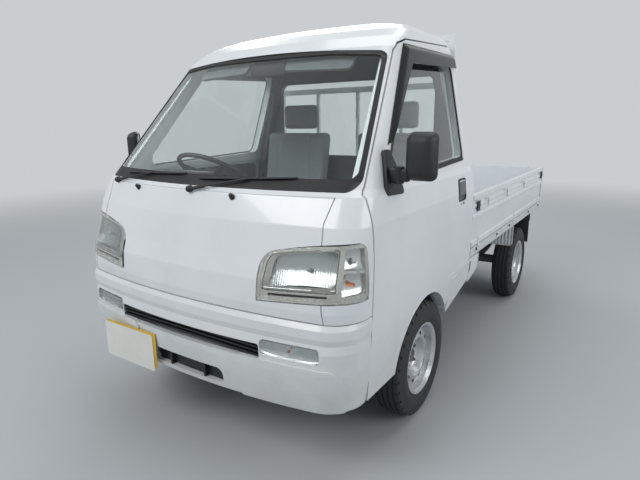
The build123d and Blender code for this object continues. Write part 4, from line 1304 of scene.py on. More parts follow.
    def headlamps(self) -> None:
        """Build both headlamps."""
        for name, stock, corners, lift_mm, depth_mm, edge_mm, pitch, holes in (
                ("bands", Stock.BEZEL, self.outline, -3.4, 26, 1.2, 0.015, [shrunk(self.outline, self.band)]),
                ("surrounds", Stock.BEZEL, shrunk(self.outline, 0.006), -5.5, 6, 1.2, 0.012,
                 [shrunk(self.frame_cell, -0.002), self.turn_cell, self.side_cell, self.slot]),
                ("inner_frames", Stock.BEZEL_DARK, self.frame_cell, -8.5, 8, 1.5, 0.012, [self.main_cell]),
                ("backs", Stock.BLACK, shrunk(self.outline, 0.004), -50, 3, 0, 0.02, []),
                ("covers", Stock.LENS, shrunk(self.outline, 0.0008), -0.4, 2.5, 0.9, 0.015, [])):
            layer = fitted(corners, CAB.round, lift_mm, depth_mm, edge_mm, pitch, holes)
            hand_over(pair(layer), f"headlamp_{name}", stock, ["headlamps"] if name == "bands" else [])
        strip = tube([tuple(CAB.round(w, z, -7.5 * MM)) for w, z in self.strip], 2.6 * MM)
        hand_over(pair(strip), "headlamp_strips", Stock.REFLECTOR)
        for name, corners, deep_mm in (("main", self.main_cell, 34), ("turn", self.turn_cell, 20),
                                       ("side", self.side_cell, 20)):
            hand_over(pair(self.bowl(shrunk(corners, -0.001), -11, deep_mm)), f"headlamp_{name}_reflectors",
                      Stock.REFLECTOR)
        lens = self.ribbed(shrunk(self.main_cell, 0.001), CAB.round, -6.0, 3.4, 0.7, 9)
        hand_over(pair(lens), "headlamp_fluted_lenses", Stock.LENS)
        for name, stock, *where in self.bulbs:
            hand_over(pair(self.bulb(*where)), name, stock)

    def indicators(self) -> None:
        """Build both front indicators in the bumper."""
        lens = self.ribbed(self.indicator, BUMPER.front, -0.8, 3.2, 0.45, 7.5)
        hand_over(pair(lens), "indicator_lenses", Stock.LENS, ["indicators"])
        back = self.bowl(shrunk(self.indicator, -0.003), -7, 15, BUMPER.front)
        hand_over(pair(back), "indicator_reflectors", Stock.REFLECTOR)
        hand_over(pair(self.bulb(*self.indicator_bulb, BUMPER.front)), "indicator_bulbs", Stock.AMBER)

    def build(self) -> None:
        """Build all front lamps."""
        self.headlamps()
        self.indicators()


@dataclass
class RearLamps:
    """The tail lamps under the bed: a black housing and a lens in three colours.

    Attributes:
        sections: Each lens's name and finish, and where it starts and ends from the lamp's middle.
        half_height: Half a lens's height.
        rim: How wide each step of a lens's face is.
        half_length: Half the lamp's length across the truck.
        recess: How far the housing's face lies inside the lenses'.
    """

    sections: Sequence[tuple[str, Stock, float, float]] = (
        ("red", Stock.RED, -0.118, 0.010), ("clear", Stock.LENS, 0.014, 0.058),
        ("amber", Stock.AMBER, 0.062, 0.118))
    half_height: float = 0.043
    rim: float = 4 * MM
    half_length: float = 0.125
    recess: float = 0.012

    def build(self) -> None:
        """Build both tail lamps."""
        low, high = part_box("tail_lamps")
        middle_x, middle_z = high.x - self.half_length, (low.z + high.z) / 2
        house = block(tuple(low), (low.x + 2 * self.half_length, high.y - self.recess, high.z))
        hand_over(pair(soften(house, 8 * MM, 40, 3)), "tail_lamp_housings", Stock.BLACK, ["tail_lamps"])
        for name, stock, start, end in self.sections:
            lens = block((middle_x + start, high.y - self.recess - 0.5 * MM, middle_z - self.half_height),
                         (middle_x + end, high.y - 1 * MM, middle_z + self.half_height))
            with picked(lens, lambda centre, normal: normal.y > 0.9):
                for step in (-3 * MM, 2 * MM):
                    bpy.ops.mesh.inset(thickness=self.rim)
                    bpy.ops.mesh.extrude_region_move(TRANSFORM_OT_translate={"value": (0, step, 0)})
            hand_over(pair(soften(lens, 2 * MM, 30)), f"tail_lamp_{name}_lenses", stock)


@dataclass
class FrontFittings:
    """Wipers, washer nozzles and the blank number plates.

    Attributes:
        wiper_rows: Each wiper's spindle, elbow, and blade's inner and outer end, as x and z.
        arm_line: The arm's points, as shares of its way and millimetres off the glass.
        knuckle_line: The thick start of the arm, in the same way.
        spine_line: The blade's frame, in the same way.
        claw_shares: Where its claws are, as shares of the blade.
        cap_profile: A spindle cap's profile.
        nozzles: The washer nozzles, as x and z.
        nozzle_profile: A nozzle's profile.
        plate_half: Half a plate's width and height.
        plate_radius: Its corners' radius.
        backing: The yellow plate's corners, from the lowest corner of the plates' box.
    """

    wiper_rows: Sequence[tuple[Flat, Flat, Flat, Flat]] = (
        ((-0.546, 1.081), (-0.270, 1.128), (-0.500, 1.116), (-0.070, 1.132)),
        ((0.000, 1.079), (0.262, 1.128), (0.020, 1.118), (0.450, 1.134)),
    )
    arm_line: Sequence[Flat] = ((0.0, 15), (0.25, 17), (0.3, 18), (0.9, 17), (1.0, 15))
    knuckle_line: Sequence[Flat] = ((0.0, 15), (0.28, 15))
    spine_line: Sequence[Flat] = ((0.04, 10), (0.2, 13), (0.5, 15), (0.8, 13), (0.96, 10))
    claw_shares: Sequence[float] = (0.06, 0.26, 0.5, 0.74, 0.94)
    cap_profile: Sequence[Flat] = (
        (0.0, 0.0), (0.0, 0.014), (0.010, 0.0135), (0.018, 0.011), (0.022, 0.006), (0.023, 0.0))
    nozzles: Sequence[Flat] = ((-0.345, 1.060), (0.215, 1.059))
    nozzle_profile: Sequence[Flat] = (
        (0.0, 0.0), (0.0, 0.0115), (0.006, 0.011), (0.012, 0.0085), (0.018, 0.0075), (0.021, 0.005),
        (0.022, 0.0))
    plate_half: Flat = (0.1645, 0.082)
    plate_radius: float = 0.010
    backing: tuple[Point, Point] = ((0.012, 3 * MM, 0.020), (0.346, 5 * MM, 0.174))

    def wiper(self, pivot: Flat, elbow: Flat, start: Flat, end: Flat) -> list[Piece]:
        """Build one wiper: spindle cap, tapered arm, blade frame, claws and rubber.

        Args:
            pivot: The spindle's x and z.
            elbow: Where the arm meets the blade.
            start: The blade's inner end.
            end: The blade's outer end.

        Returns:
            Its pieces.
        """
        def along(a: Flat, b: Flat, rows: Sequence[Flat]) -> list[Vector]:
            """Return points between two places, by a share of the way and millimetres off the glass."""
            return [CAB.front(a[0] + share * (b[0] - a[0]), a[1] + share * (b[1] - a[1]), lift_mm * MM)
                    for share, lift_mm in rows]

        base, tip = CAB.front(*pivot, 2 * MM), CAB.front(*pivot, 30 * MM)
        cap = lathe(self.cap_profile, tuple(base), tuple((tip - base).normalized()), 24)
        arm = tube(along(pivot, elbow, self.arm_line), 4.2 * MM, sides=2)
        knuckle = tube(along(pivot, elbow, self.knuckle_line), 6.5 * MM, sides=2)
        spine = tube(along(start, end, self.spine_line), 2.6 * MM, kind="NURBS", sides=2)
        rubber = tube(along(start, end, [(step / 10, 5) for step in range(11)]), 3.6 * MM, sides=1)
        claws = [tube(along(start, end, ((share, 12), (share, 3.5))), 2.4 * MM, sides=1)
                 for share in self.claw_shares]
        return [cap, arm, knuckle, spine, rubber, *claws]

    def nozzle(self, x: float, z: float) -> Piece:
        """Turn a washer nozzle that leans up off the cowl.

        Args:
            x: Its place across the truck.
            z: Its height.

        Returns:
            The nozzle.
        """
        foot = CAB.front(x, z, -2 * MM)
        out = (CAB.front(x, z, 20 * MM) - foot).normalized() + Vector((0, 0, 0.9))
        return lathe(self.nozzle_profile, tuple(foot), tuple(out), 20)

    def plates(self) -> None:
        """Build the blank plates, and the yellow plate's edge behind the front one."""
        low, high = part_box("number_plates")
        wide, tall = self.plate_half
        outline = rounded(oblong((-wide, -tall), (wide, tall), self.plate_radius))
        faces = []
        for x, y, z in ((low.x + 0.165, low.y, low.z + 0.0825), (0.0, high.y - 2 * MM, high.z - 0.0825)):
            upright = Matrix.Translation((x, y + MM, z)) @ Matrix.Rotation(math.pi / 2, 4, "X")
            card = plate(outline, 2 * MM, upright)
            with picked(card, lambda centre, normal: abs(normal.y) > 0.9):
                bpy.ops.mesh.inset(thickness=5 * MM)
                bpy.ops.mesh.inset(thickness=1.5 * MM, depth=-0.6 * MM)
            faces.append(smooth(card, 30))
        hand_over(joined(faces), "blank_plates", Stock.PLATE, ["number_plates"])
        hand_over(soften(block(*shifted(self.backing, low)), 0.9 * MM), "plate_backing", Stock.YELLOW)

    def build(self) -> None:
        """Build the fittings."""
        wipers = [part for row in self.wiper_rows for part in self.wiper(*row)]
        hand_over(joined(wipers), "wiper_arms_and_blades", Stock.BLACK, ["wipers"])
        hand_over(joined([self.nozzle(*place) for place in self.nozzles]), "washer_nozzles", Stock.BLACK)
        self.plates()


@dataclass
class Mirrors:
    """The door mirrors: a tapered foot, a hinge and a rounded head with its glass.

    Attributes:
        foot: The foot's outline, as y, z and a corner's radius.
        belt: The height below which the foot's plane runs straight on from the window.
        slope: How far that plane moves out, for each metre down.
        pivot: The hinge, as x and y.
        neck: The neck's corners, from the hinge.
        post: The hinge post's profile.
        arm: The head's arm, from the hinge.
        head: The head's width, depth and height.
        head_from: How far outside the hinge the head starts.
        head_z: The head's height.
        arm_z: The arm's height.
        glass_inset: How far the glass lies inside the head's sides, and its top and foot.
        fold: How far back the right head is folded, in degrees.
    """

    foot: Sequence[Corner] = (
        (-1.345, 1.070, 0.014), (-1.204, 1.064, 0.014), (-1.218, 1.150, 0.05), (-1.262, 1.228, 0.012),
        (-1.300, 1.226, 0.012))
    belt: float = 1.101
    slope: float = 0.238
    pivot: Flat = (0.744, -1.290)
    neck: tuple[Point, Point] = ((-0.0365, -0.019, -0.027), (0.004, 0.019, 0.027))
    arm: tuple[Point, Point] = ((0.006, -0.014, -0.023), (0.040, 0.014, 0.023))
    post: Sequence[Flat] = (
        (-0.030, 0.0), (-0.030, 0.017), (-0.027, 0.0195), (0.027, 0.0195), (0.030, 0.017), (0.030, 0.0))
    head: Point = (0.124, 0.060, 0.182)
    head_from: float = 0.022
    head_z: float = 1.206
    arm_z: float = 1.140
    glass_inset: Flat = (0.012, 0.014)
    fold: float = 44.0

    def sail(self, y: float, z: float, lift: float) -> Vector:
        """Return a point of the plane that the window's corner continues below the belt.

        Args:
            y: The place along the truck.
            z: The height.
            lift: How far outside the plane the point lies.

        Returns:
            The point.
        """
        place = CAB.side(y, max(z, self.belt), lift)
        return Vector((place.x + self.slope * max(self.belt - z, 0), place.y, z))

    def shell(self) -> Piece:
        """Mould the head's shell, tapered to its front and hollow behind, with the hinge at the origin."""
        wide, deep, tall = self.head
        start = self.head_from
        shell = block((start, -deep / 2 - 0.008, -tall / 2), (start + wide, deep / 2 - 0.008, tall / 2))
        with picked(shell, lambda centre, normal: normal.y < -0.9):
            bpy.ops.transform.resize(value=(0.72, 1.0, 0.78), center_override=(start + wide * 0.42, 0, 0))
        modify(shell, "BEVEL", width=26 * MM, segments=5, limit_method="ANGLE", angle_limit=math.radians(30))
        with picked(shell, lambda centre, normal: normal.y > 0.97):
            bpy.ops.mesh.inset(thickness=5 * MM)
            bpy.ops.mesh.extrude_region_move(TRANSFORM_OT_translate={"value": (0, -0.006, 0)})
        return smooth(shell, 40)

    def glass(self) -> Piece:
        """Cut the faintly domed glass, with the hinge at the origin."""
        wide, deep, tall = self.head
        inset_x, inset_z = self.glass_inset
        corners = oblong((self.head_from + inset_x, -tall / 2 + inset_z),
                         (self.head_from + wide - inset_x, tall / 2 - inset_z), 0.022)
        middle = self.head_from + wide / 2

        def dome(x: float, z: float, lift: float) -> Vector:
            """Return the dome's point at a place."""
            return Vector((x, deep / 2 - 0.012 + lift - 0.4 * (x - middle) ** 2, z))

        return fitted(corners, dome, 0.0, 1.5, 0.8, 0.02)

    def half(self, fold: float) -> list[Piece]:
        """Build a left mirror.

        Args:
            fold: How far back its head is folded, in degrees.

        Returns:
            The mouldings and the glass.
        """
        x, y = self.pivot
        foot = fitted(self.foot, self.sail, 15, 15, 5, 0.02)
        neck = soften(block(*shifted(self.neck, (x, y, self.arm_z))), 8 * MM, 40, 3)
        post = lathe(self.post, (x, y, self.arm_z), (0, 0, 1), 32)
        arm = soften(block(*shifted(self.arm, (0, 0, self.arm_z - self.head_z))), 7 * MM, 40, 3)
        shell, glass = self.shell(), self.glass()
        for piece in (shell, arm, glass):
            piece.rotation_euler.z = math.radians(fold)
            piece.location = (x, y, self.head_z)
            settle(piece)
        return [joined([foot, neck, post, shell, arm]), glass]

    def build(self) -> None:
        """Build both mirrors."""
        for side, fold in (("left", 0.0), ("right", self.fold)):
            pieces = self.half(fold)
            if side == "right":
                lefts, pieces = pieces, [mirrored(piece) for piece in pieces]
                for piece in lefts:
                    bpy.data.objects.remove(piece)
            hand_over(pieces[0], f"mirror_{side}_housing", Stock.BLACK, [f"mirror_{side}"], f"door_{side}")
            hand_over(pieces[1], f"mirror_{side}_glass", Stock.REFLECTOR, (), f"door_{side}")


@dataclass
class DoorTrim:
    """What the doors carry: rain visor, window seal, handle, lock, pressed lines, and the trim inside.

    Outlines are side views, as y, z and a corner's radius.

    Attributes:
        visor: The rain visor's outline, as y and z.
        glued: Its glued edge, as y and z.
        window: The window's opening.
        belt_seal: The seal along the window's foot.
        handle: The handle's middle, as y and z.
        handle_flap: The flap's half length, foot, head and corner radius, from the handle's middle.
        handle_rim: The dark rim, in the same way.
        handle_hole: Its opening, in the same way.
        handle_cup: The cup below the flap, in the same way, with its upper corners' radius.
        locks: Each lock's y and z from the handle, and its radius.
        trim: The inner trim card.
        arm_rest: The arm rest's lower front and upper rear corner.
        ridges: Each pressed ridge's y and z at its front and at its rear.
        ridge_width: Their width.
        ridge_run: How far behind its tip a ridge is full width.
        arch: The wheel arch's middle, as y and z.
        arch_radius: Its radius.
        arch_turn: Where the door's stretch of it starts and ends, in degrees.
    """

    visor: Sequence[Flat] = (
        (-1.219, 1.253), (-1.244, 1.241), (-0.925, 1.6385), (-0.895, 1.6400), (-0.342, 1.6505),
        (-0.342, 1.586), (-0.900, 1.561))
    glued: Sequence[Flat] = ((-1.244, 1.241), (-0.925, 1.6385), (-0.342, 1.6505))
    window: Sequence[Corner] = (
        (-1.300, 1.110, 0.042), (-0.440, 1.150, 0.042), (-0.378, 1.604, 0.042), (-0.930, 1.590, 0.042))
    belt_seal: Sequence[Corner] = (
        (-1.312, 1.096, 0.006), (-0.436, 1.137, 0.006), (-0.434, 1.158, 0.006), (-1.296, 1.119, 0.006))
    handle: Flat = (-0.520, 1.000)
    handle_flap: Sequence[float] = (0.044, -0.024, 0.046, 0.010)
    handle_rim: Sequence[float] = (0.053, -0.055, 0.055, 0.014)
    handle_hole: Sequence[float] = (0.047, -0.049, 0.049, 0.012)
    handle_cup: Sequence[float] = (0.047, -0.049, -0.028, 0.012, 0.004)
    locks: Sequence[Corner] = ((0.022, -0.069, 0.008), (-0.018, -0.071, 0.004))
    trim: Sequence[Corner] = (
        (-1.340, 0.700, 0.06), (-0.640, 0.640, 0.05), (-0.430, 0.640, 0.05), (-0.430, 1.080, 0.03),
        (-1.340, 1.080, 0.05))
    arm_rest: tuple[Flat, Flat] = ((-1.06, 0.905), (-0.66, 0.945))
    ridges: Sequence[tuple[float, float, float, float]] = (
        (-0.640, 0.582, -0.341, 0.616), (-0.600, 0.560, -0.341, 0.586))
    ridge_width: float = 11 * MM
    ridge_run: float = 0.03
    arch: Flat = (-0.925, 0.280)
    arch_radius: float = 0.302
    arch_turn: Flat = (30.0, 171.0)

    def strake(self, y0: float, z0: float, y1: float, z1: float) -> Piece:
        """Press a ridge that runs back from above the arch to the door's edge.

        Args:
            y0: Where its tip lies.
            z0: The tip's height.
            y1: Where it ends.
            z1: The end's height.

        Returns:
            The ridge.
        """
        wide, full = self.ridge_width / 2, y0 + self.ridge_run
        corners = [(y0, z0, 0), (full, z0 + wide, 0.02), (y1, z1 + wide, 0.002), (y1, z1 - wide, 0.002),
                   (full, z0 - wide, 0.02)]
        return fitted(corners, CAB.side, 4.0, 6, 3.2, 0.04)

    def arch_lip(self) -> Piece:
        """Roll the door's edge round the wheel arch."""
        (y, z), (first, last), radius = self.arch, self.arch_turn, self.arch_radius
        line = []
        for step in range(41):
            turn = math.radians(first + (last - first) * step / 40)
            line.append(CAB.side(y + radius * math.cos(turn), z + radius * math.sin(turn), -1.5 * MM))
        return tube(line, 3.6 * MM, sides=2)

    def rain_visor(self) -> Piece:
        """Press the smoked visor, which stands off the frame below its glued edge."""
        line = [Vector(point) for point in self.glued]

        def stand(point: Vector) -> Vector:
            """Lift a point off the door's frame by its distance from the glued edge.

            Args:
                point: The flat visor's point, as y and z.

            Returns:
                Its place.
            """
            flat = Vector((point.x, point.y))
            away = 1.0
            for a, b in zip(line, line[1:]):
                share = min(max((flat - a).dot(b - a) / (b - a).length_squared, 0), 1)
                away = min(away, (flat - a.lerp(b, share)).length)
            rise = min(away / 0.022, 1)
            return CAB.side(point.x, point.y, 3.5 * MM + 16 * MM * rise * rise * (3 - 2 * rise))

        obj = bend(sheet(self.visor, (), 0.008), stand)
        modify(obj, "SOLIDIFY", thickness=2.6 * MM, offset=-1)
        return soften(obj, 0.8 * MM, 50)

    def around_handle(self, half: float, low: float, high: float, foot: float,
                      head: float = 0.0) -> list[Corner]:
        """Return an oblong outline at the handle.

        Args:
            half: Half its length.
            low: Its foot, from the handle's middle.
            high: Its head, from there.
            foot: Its lower corners' radius.
            head: Its upper corners' radius, where that differs.

        Returns:
            Its corners.
        """
        y, z = self.handle
        return oblong((y - half, z + low), (y + half, z + high), foot, head)

    def handle_pieces(self) -> dict[str, tuple[Piece, Stock]]:
        """Build the left door's handle, with its locks.

        Returns:
            Each piece with its finish, by name.
        """
        y, z = self.handle
        flap = fitted(self.around_handle(*self.handle_flap), CAB.side, 3.4, 9, 2)
        cup = fitted(self.around_handle(*self.handle_cup), CAB.side, -9, 3, 1)
        hole = self.around_handle(*self.handle_hole)
        rim = fitted(self.around_handle(*self.handle_rim), CAB.side, 2.2, 5, 1, holes=[hole])
        locks = [lathe([(-0.004, 0.0), (-0.004, radius), (0.0005, radius), (0.0015, 0.7 * radius),
                        (0.0005, 0.0)], tuple(CAB.side(y + back, z + up)), (1, 0, 0), 24)
                 for back, up, radius in self.locks]
        return {"handle_flap": (flap, Stock.GREY),
                "handle_rim_and_lock": (joined([rim, *locks]), Stock.BLACK),
                "handle_cup": (cup, Stock.GREY)}

    def pieces(self) -> dict[str, tuple[Piece, Stock]]:
        """Build the left door's pieces.

        Returns:
            Each piece with its finish, by name.
        """
        seal = fitted(shrunk(self.window, -0.011), CAB.side, 1.6, 4, 1.4, holes=[shrunk(self.window, 0.004)])
        belt = fitted(self.belt_seal, CAB.side, 3.2, 5, 1.6)
        card = fitted(self.trim, CAB.side, -50, 5, 2, 0.04)
        rest = fitted(oblong(*self.arm_rest, 0.012), CAB.side, -54, 26, 8, 0.04)
        strakes = [self.strake(*row) for row in self.ridges]
        return {
            "rain_visor": (self.rain_visor(), Stock.SMOKE),
            **self.handle_pieces(),
            "window_seal": (joined([seal, belt]), Stock.SEAL),
            "inner_trim": (joined([card, rest]), Stock.CABIN),
            "pressed_lines": (joined([*strakes, self.arch_lip()]), Stock.ENAMEL),
        }

    def build(self) -> None:
        """Trim both doors."""
        for name, (piece, stock) in self.pieces().items():
            twin = mirrored(piece)
            for side, obj in (("left", piece), ("right", twin)):
                node = [f"visor_{side}"] if name == "rain_visor" else []
                hand_over(obj, f"door_{side}_{name}", stock, node, f"door_{side}")


@dataclass
class BedTrim:
    """Gate hooks, latches, rope knobs, the aprons by the rear wheels and the guard's hooks.

    Attributes:
        side_x: The side gates' outer face.
        rail_z: The height of the rail with the rope knobs.
        knob_profile: A knob's profile.
        knob_ys: Where the knobs are.
        hook_ys: Where the side gates' rope hooks are.
        hook_z: Their height.
        hook_line: A hook's line, from its place.
        latch_places: Where the side gates' latches are, as y and z.
        latch_plate: A latch's plate, from its place.
        latch_lever: Its lever.
        latch_eye: Its eye's line.
        apron_y: The aprons' place along the truck.
        apron_x: An apron's inner and outer edge.
        apron_z: Its foot and its top.
        apron_ribs: How many ribs it has.
        flap_from: The mudflaps behind the wheels start here.
        guard_hook: A guard hook's line.
        closer: The white piece behind a door's lower rear corner, as y, z and radius.
        closer_slot: The slot in it.
    """

    side_x: float = 0.7265
    rail_z: float = 0.632
    knob_profile: Sequence[Flat] = (
        (-0.002, 0.0), (-0.002, 0.0055), (0.0022, 0.005), (0.003, 0.0085), (0.005, 0.0085), (0.0062, 0.006),
        (0.0062, 0.0))
    knob_ys: Sequence[float] = (-0.205, 0.236, 0.560, 1.180, 1.560)
    hook_ys: Sequence[float] = (-0.037, 0.409, 0.918)
    hook_z: float = 0.878
    hook_line: Sequence[Point] = (
        (0, -0.024, 0.018), (0.0045, -0.022, 0.018), (0.0045, 0.022, 0.018), (0.0045, 0.024, 0.014),
        (0.0045, 0.024, -0.024), (0, 0.024, -0.028))
    latch_places: Sequence[Flat] = ((1.628, 0.880), (-0.200, 0.874))
    latch_plate: tuple[Point, Point] = ((-0.001, -0.032, -0.028), (0.002, 0.026, 0.028))
    latch_lever: tuple[Point, Point] = ((0.001, -0.026, -0.008), (0.0055, 0.020, 0.010))
    latch_eye: tuple[Point, Point] = ((0.003, 0.012, 0.018), (0.003, -0.014, 0.018))
    apron_y: float = 0.690
    apron_x: Flat = (0.568, 0.728)
    apron_z: Flat = (0.460, 0.604)
    apron_ribs: int = 7
    flap_from: float = 0.980
    guard_hook: Sequence[Point] = (
        (0.545, -0.243, 1.720), (0.545, -0.262, 1.724), (0.545, -0.268, 1.742), (0.545, -0.256, 1.754))
    closer: Sequence[Corner] = (
        (-0.326, 0.470, 0.004), (-0.215, 0.497, 0.03), (-0.158, 0.520, 0.012), (-0.158, 0.600, 0.004),
        (-0.326, 0.600, 0.004))
    closer_slot: Sequence[Corner] = (
        (-0.320, 0.520, 0.006), (-0.300, 0.527, 0.006), (-0.300, 0.582, 0.006), (-0.320, 0.588, 0.006))

    def hook(self, y: float) -> Piece:
        """Bend one rope loop on a side gate, at a place along it."""
        return tube(shifted(self.hook_line, (self.side_x - 2 * MM, y, self.hook_z)), 3.2 * MM, sides=2)

    def latch(self, y: float, z: float) -> Piece:
        """Build a latch near a side gate's end: a plate, a lever and its eye.

        Args:
            y: Its place along the gate.
            z: Its height.

        Returns:
            The latch.
        """
        place = (self.side_x, y, z)
        base = soften(block(*shifted(self.latch_plate, place)), 0.8 * MM)
        lever = soften(block(*shifted(self.latch_lever, place)), 1.8 * MM, 40, 3)
        return joined([base, lever, tube(shifted(self.latch_eye, place), 2.4 * MM, sides=2)])

    def apron(self) -> Piece:
        """Build the ribbed apron ahead of a rear wheel, with its rolled edge."""
        (x0, x1), (z0, z1), y = self.apron_x, self.apron_z, self.apron_y
        outline = rounded([(x0, z0, 0.010), (x1, z0, 0.016), (x1, z1, 0.004), (x0, z1, 0.004)])

        def rib(point: Vector) -> Vector:
            """Return the ribbed sheet's point for a point of its outline's plane."""
            wave = math.cos(2 * math.pi * (point.x - x0) / (x1 - x0) * self.apron_ribs)
            return Vector((point.x, y - 2.5 * MM * wave, point.y))

        obj = bend(sheet(outline, (), 0.003), rib)
        modify(obj, "SOLIDIFY", thickness=1.6 * MM, offset=0)
        rim = tube([(x1, y, z1), (x1, y, z0 + 0.016), (x1 - 0.016, y, z0), (x0, y, z0)], 3.5 * MM, sides=2)
        return joined([smooth(obj, 50), rim])

    def mudflaps(self) -> Piece:
        """Keep the flaps behind the wheels from the CAD's rear mudguards."""
        flaps = copy_of("rear_mudguards")
        with picked(flaps, lambda centre, normal: centre.y < self.flap_from):
            bpy.ops.mesh.delete(type="FACE")
        return soften(flaps, 1 * MM)

    def build(self) -> None:
        """Build the bed's small parts."""
        knobs = [lathe(self.knob_profile, (self.side_x, y, self.rail_z), (1, 0, 0), 18) for y in self.knob_ys]
        hand_over(pair(joined(knobs)), "rope_knobs", Stock.BLACK)
        hand_over(pair(self.apron()), "rear_aprons", Stock.ENAMEL, ["rear_mudguards"])
        hand_over(self.mudflaps(), "rear_mudflaps", Stock.BLACK)
        for name, stock, left in (
                ("rope_hooks", Stock.WHEEL, joined([self.hook(y) for y in self.hook_ys])),
                ("latches", Stock.BLACK, joined([self.latch(*place) for place in self.latch_places]))):
            right = mirrored(left)
            hand_over(left, f"gate_left_{name}", stock, (), "gate_left")
            hand_over(right, f"gate_right_{name}", stock, (), "gate_right")
        guard_hook = tube(self.guard_hook, 3.2 * MM, kind="NURBS", sides=2)
        hand_over(pair(guard_hook), "guard_hooks", Stock.BLACK)
        closer = fitted(self.closer, CAB.side, -1, 6, 1.5, holes=[self.closer_slot])
        hand_over(pair(closer), "cab_rear_closers", Stock.ENAMEL)
        # A near-black sheet just inside the slot: painted shade standing in for the slot's depth
        hand_over(pair(fitted(self.closer_slot, CAB.side, -3.5, 3, 0.5)), "cab_rear_closer_slot_shade", Stock.SEAL)


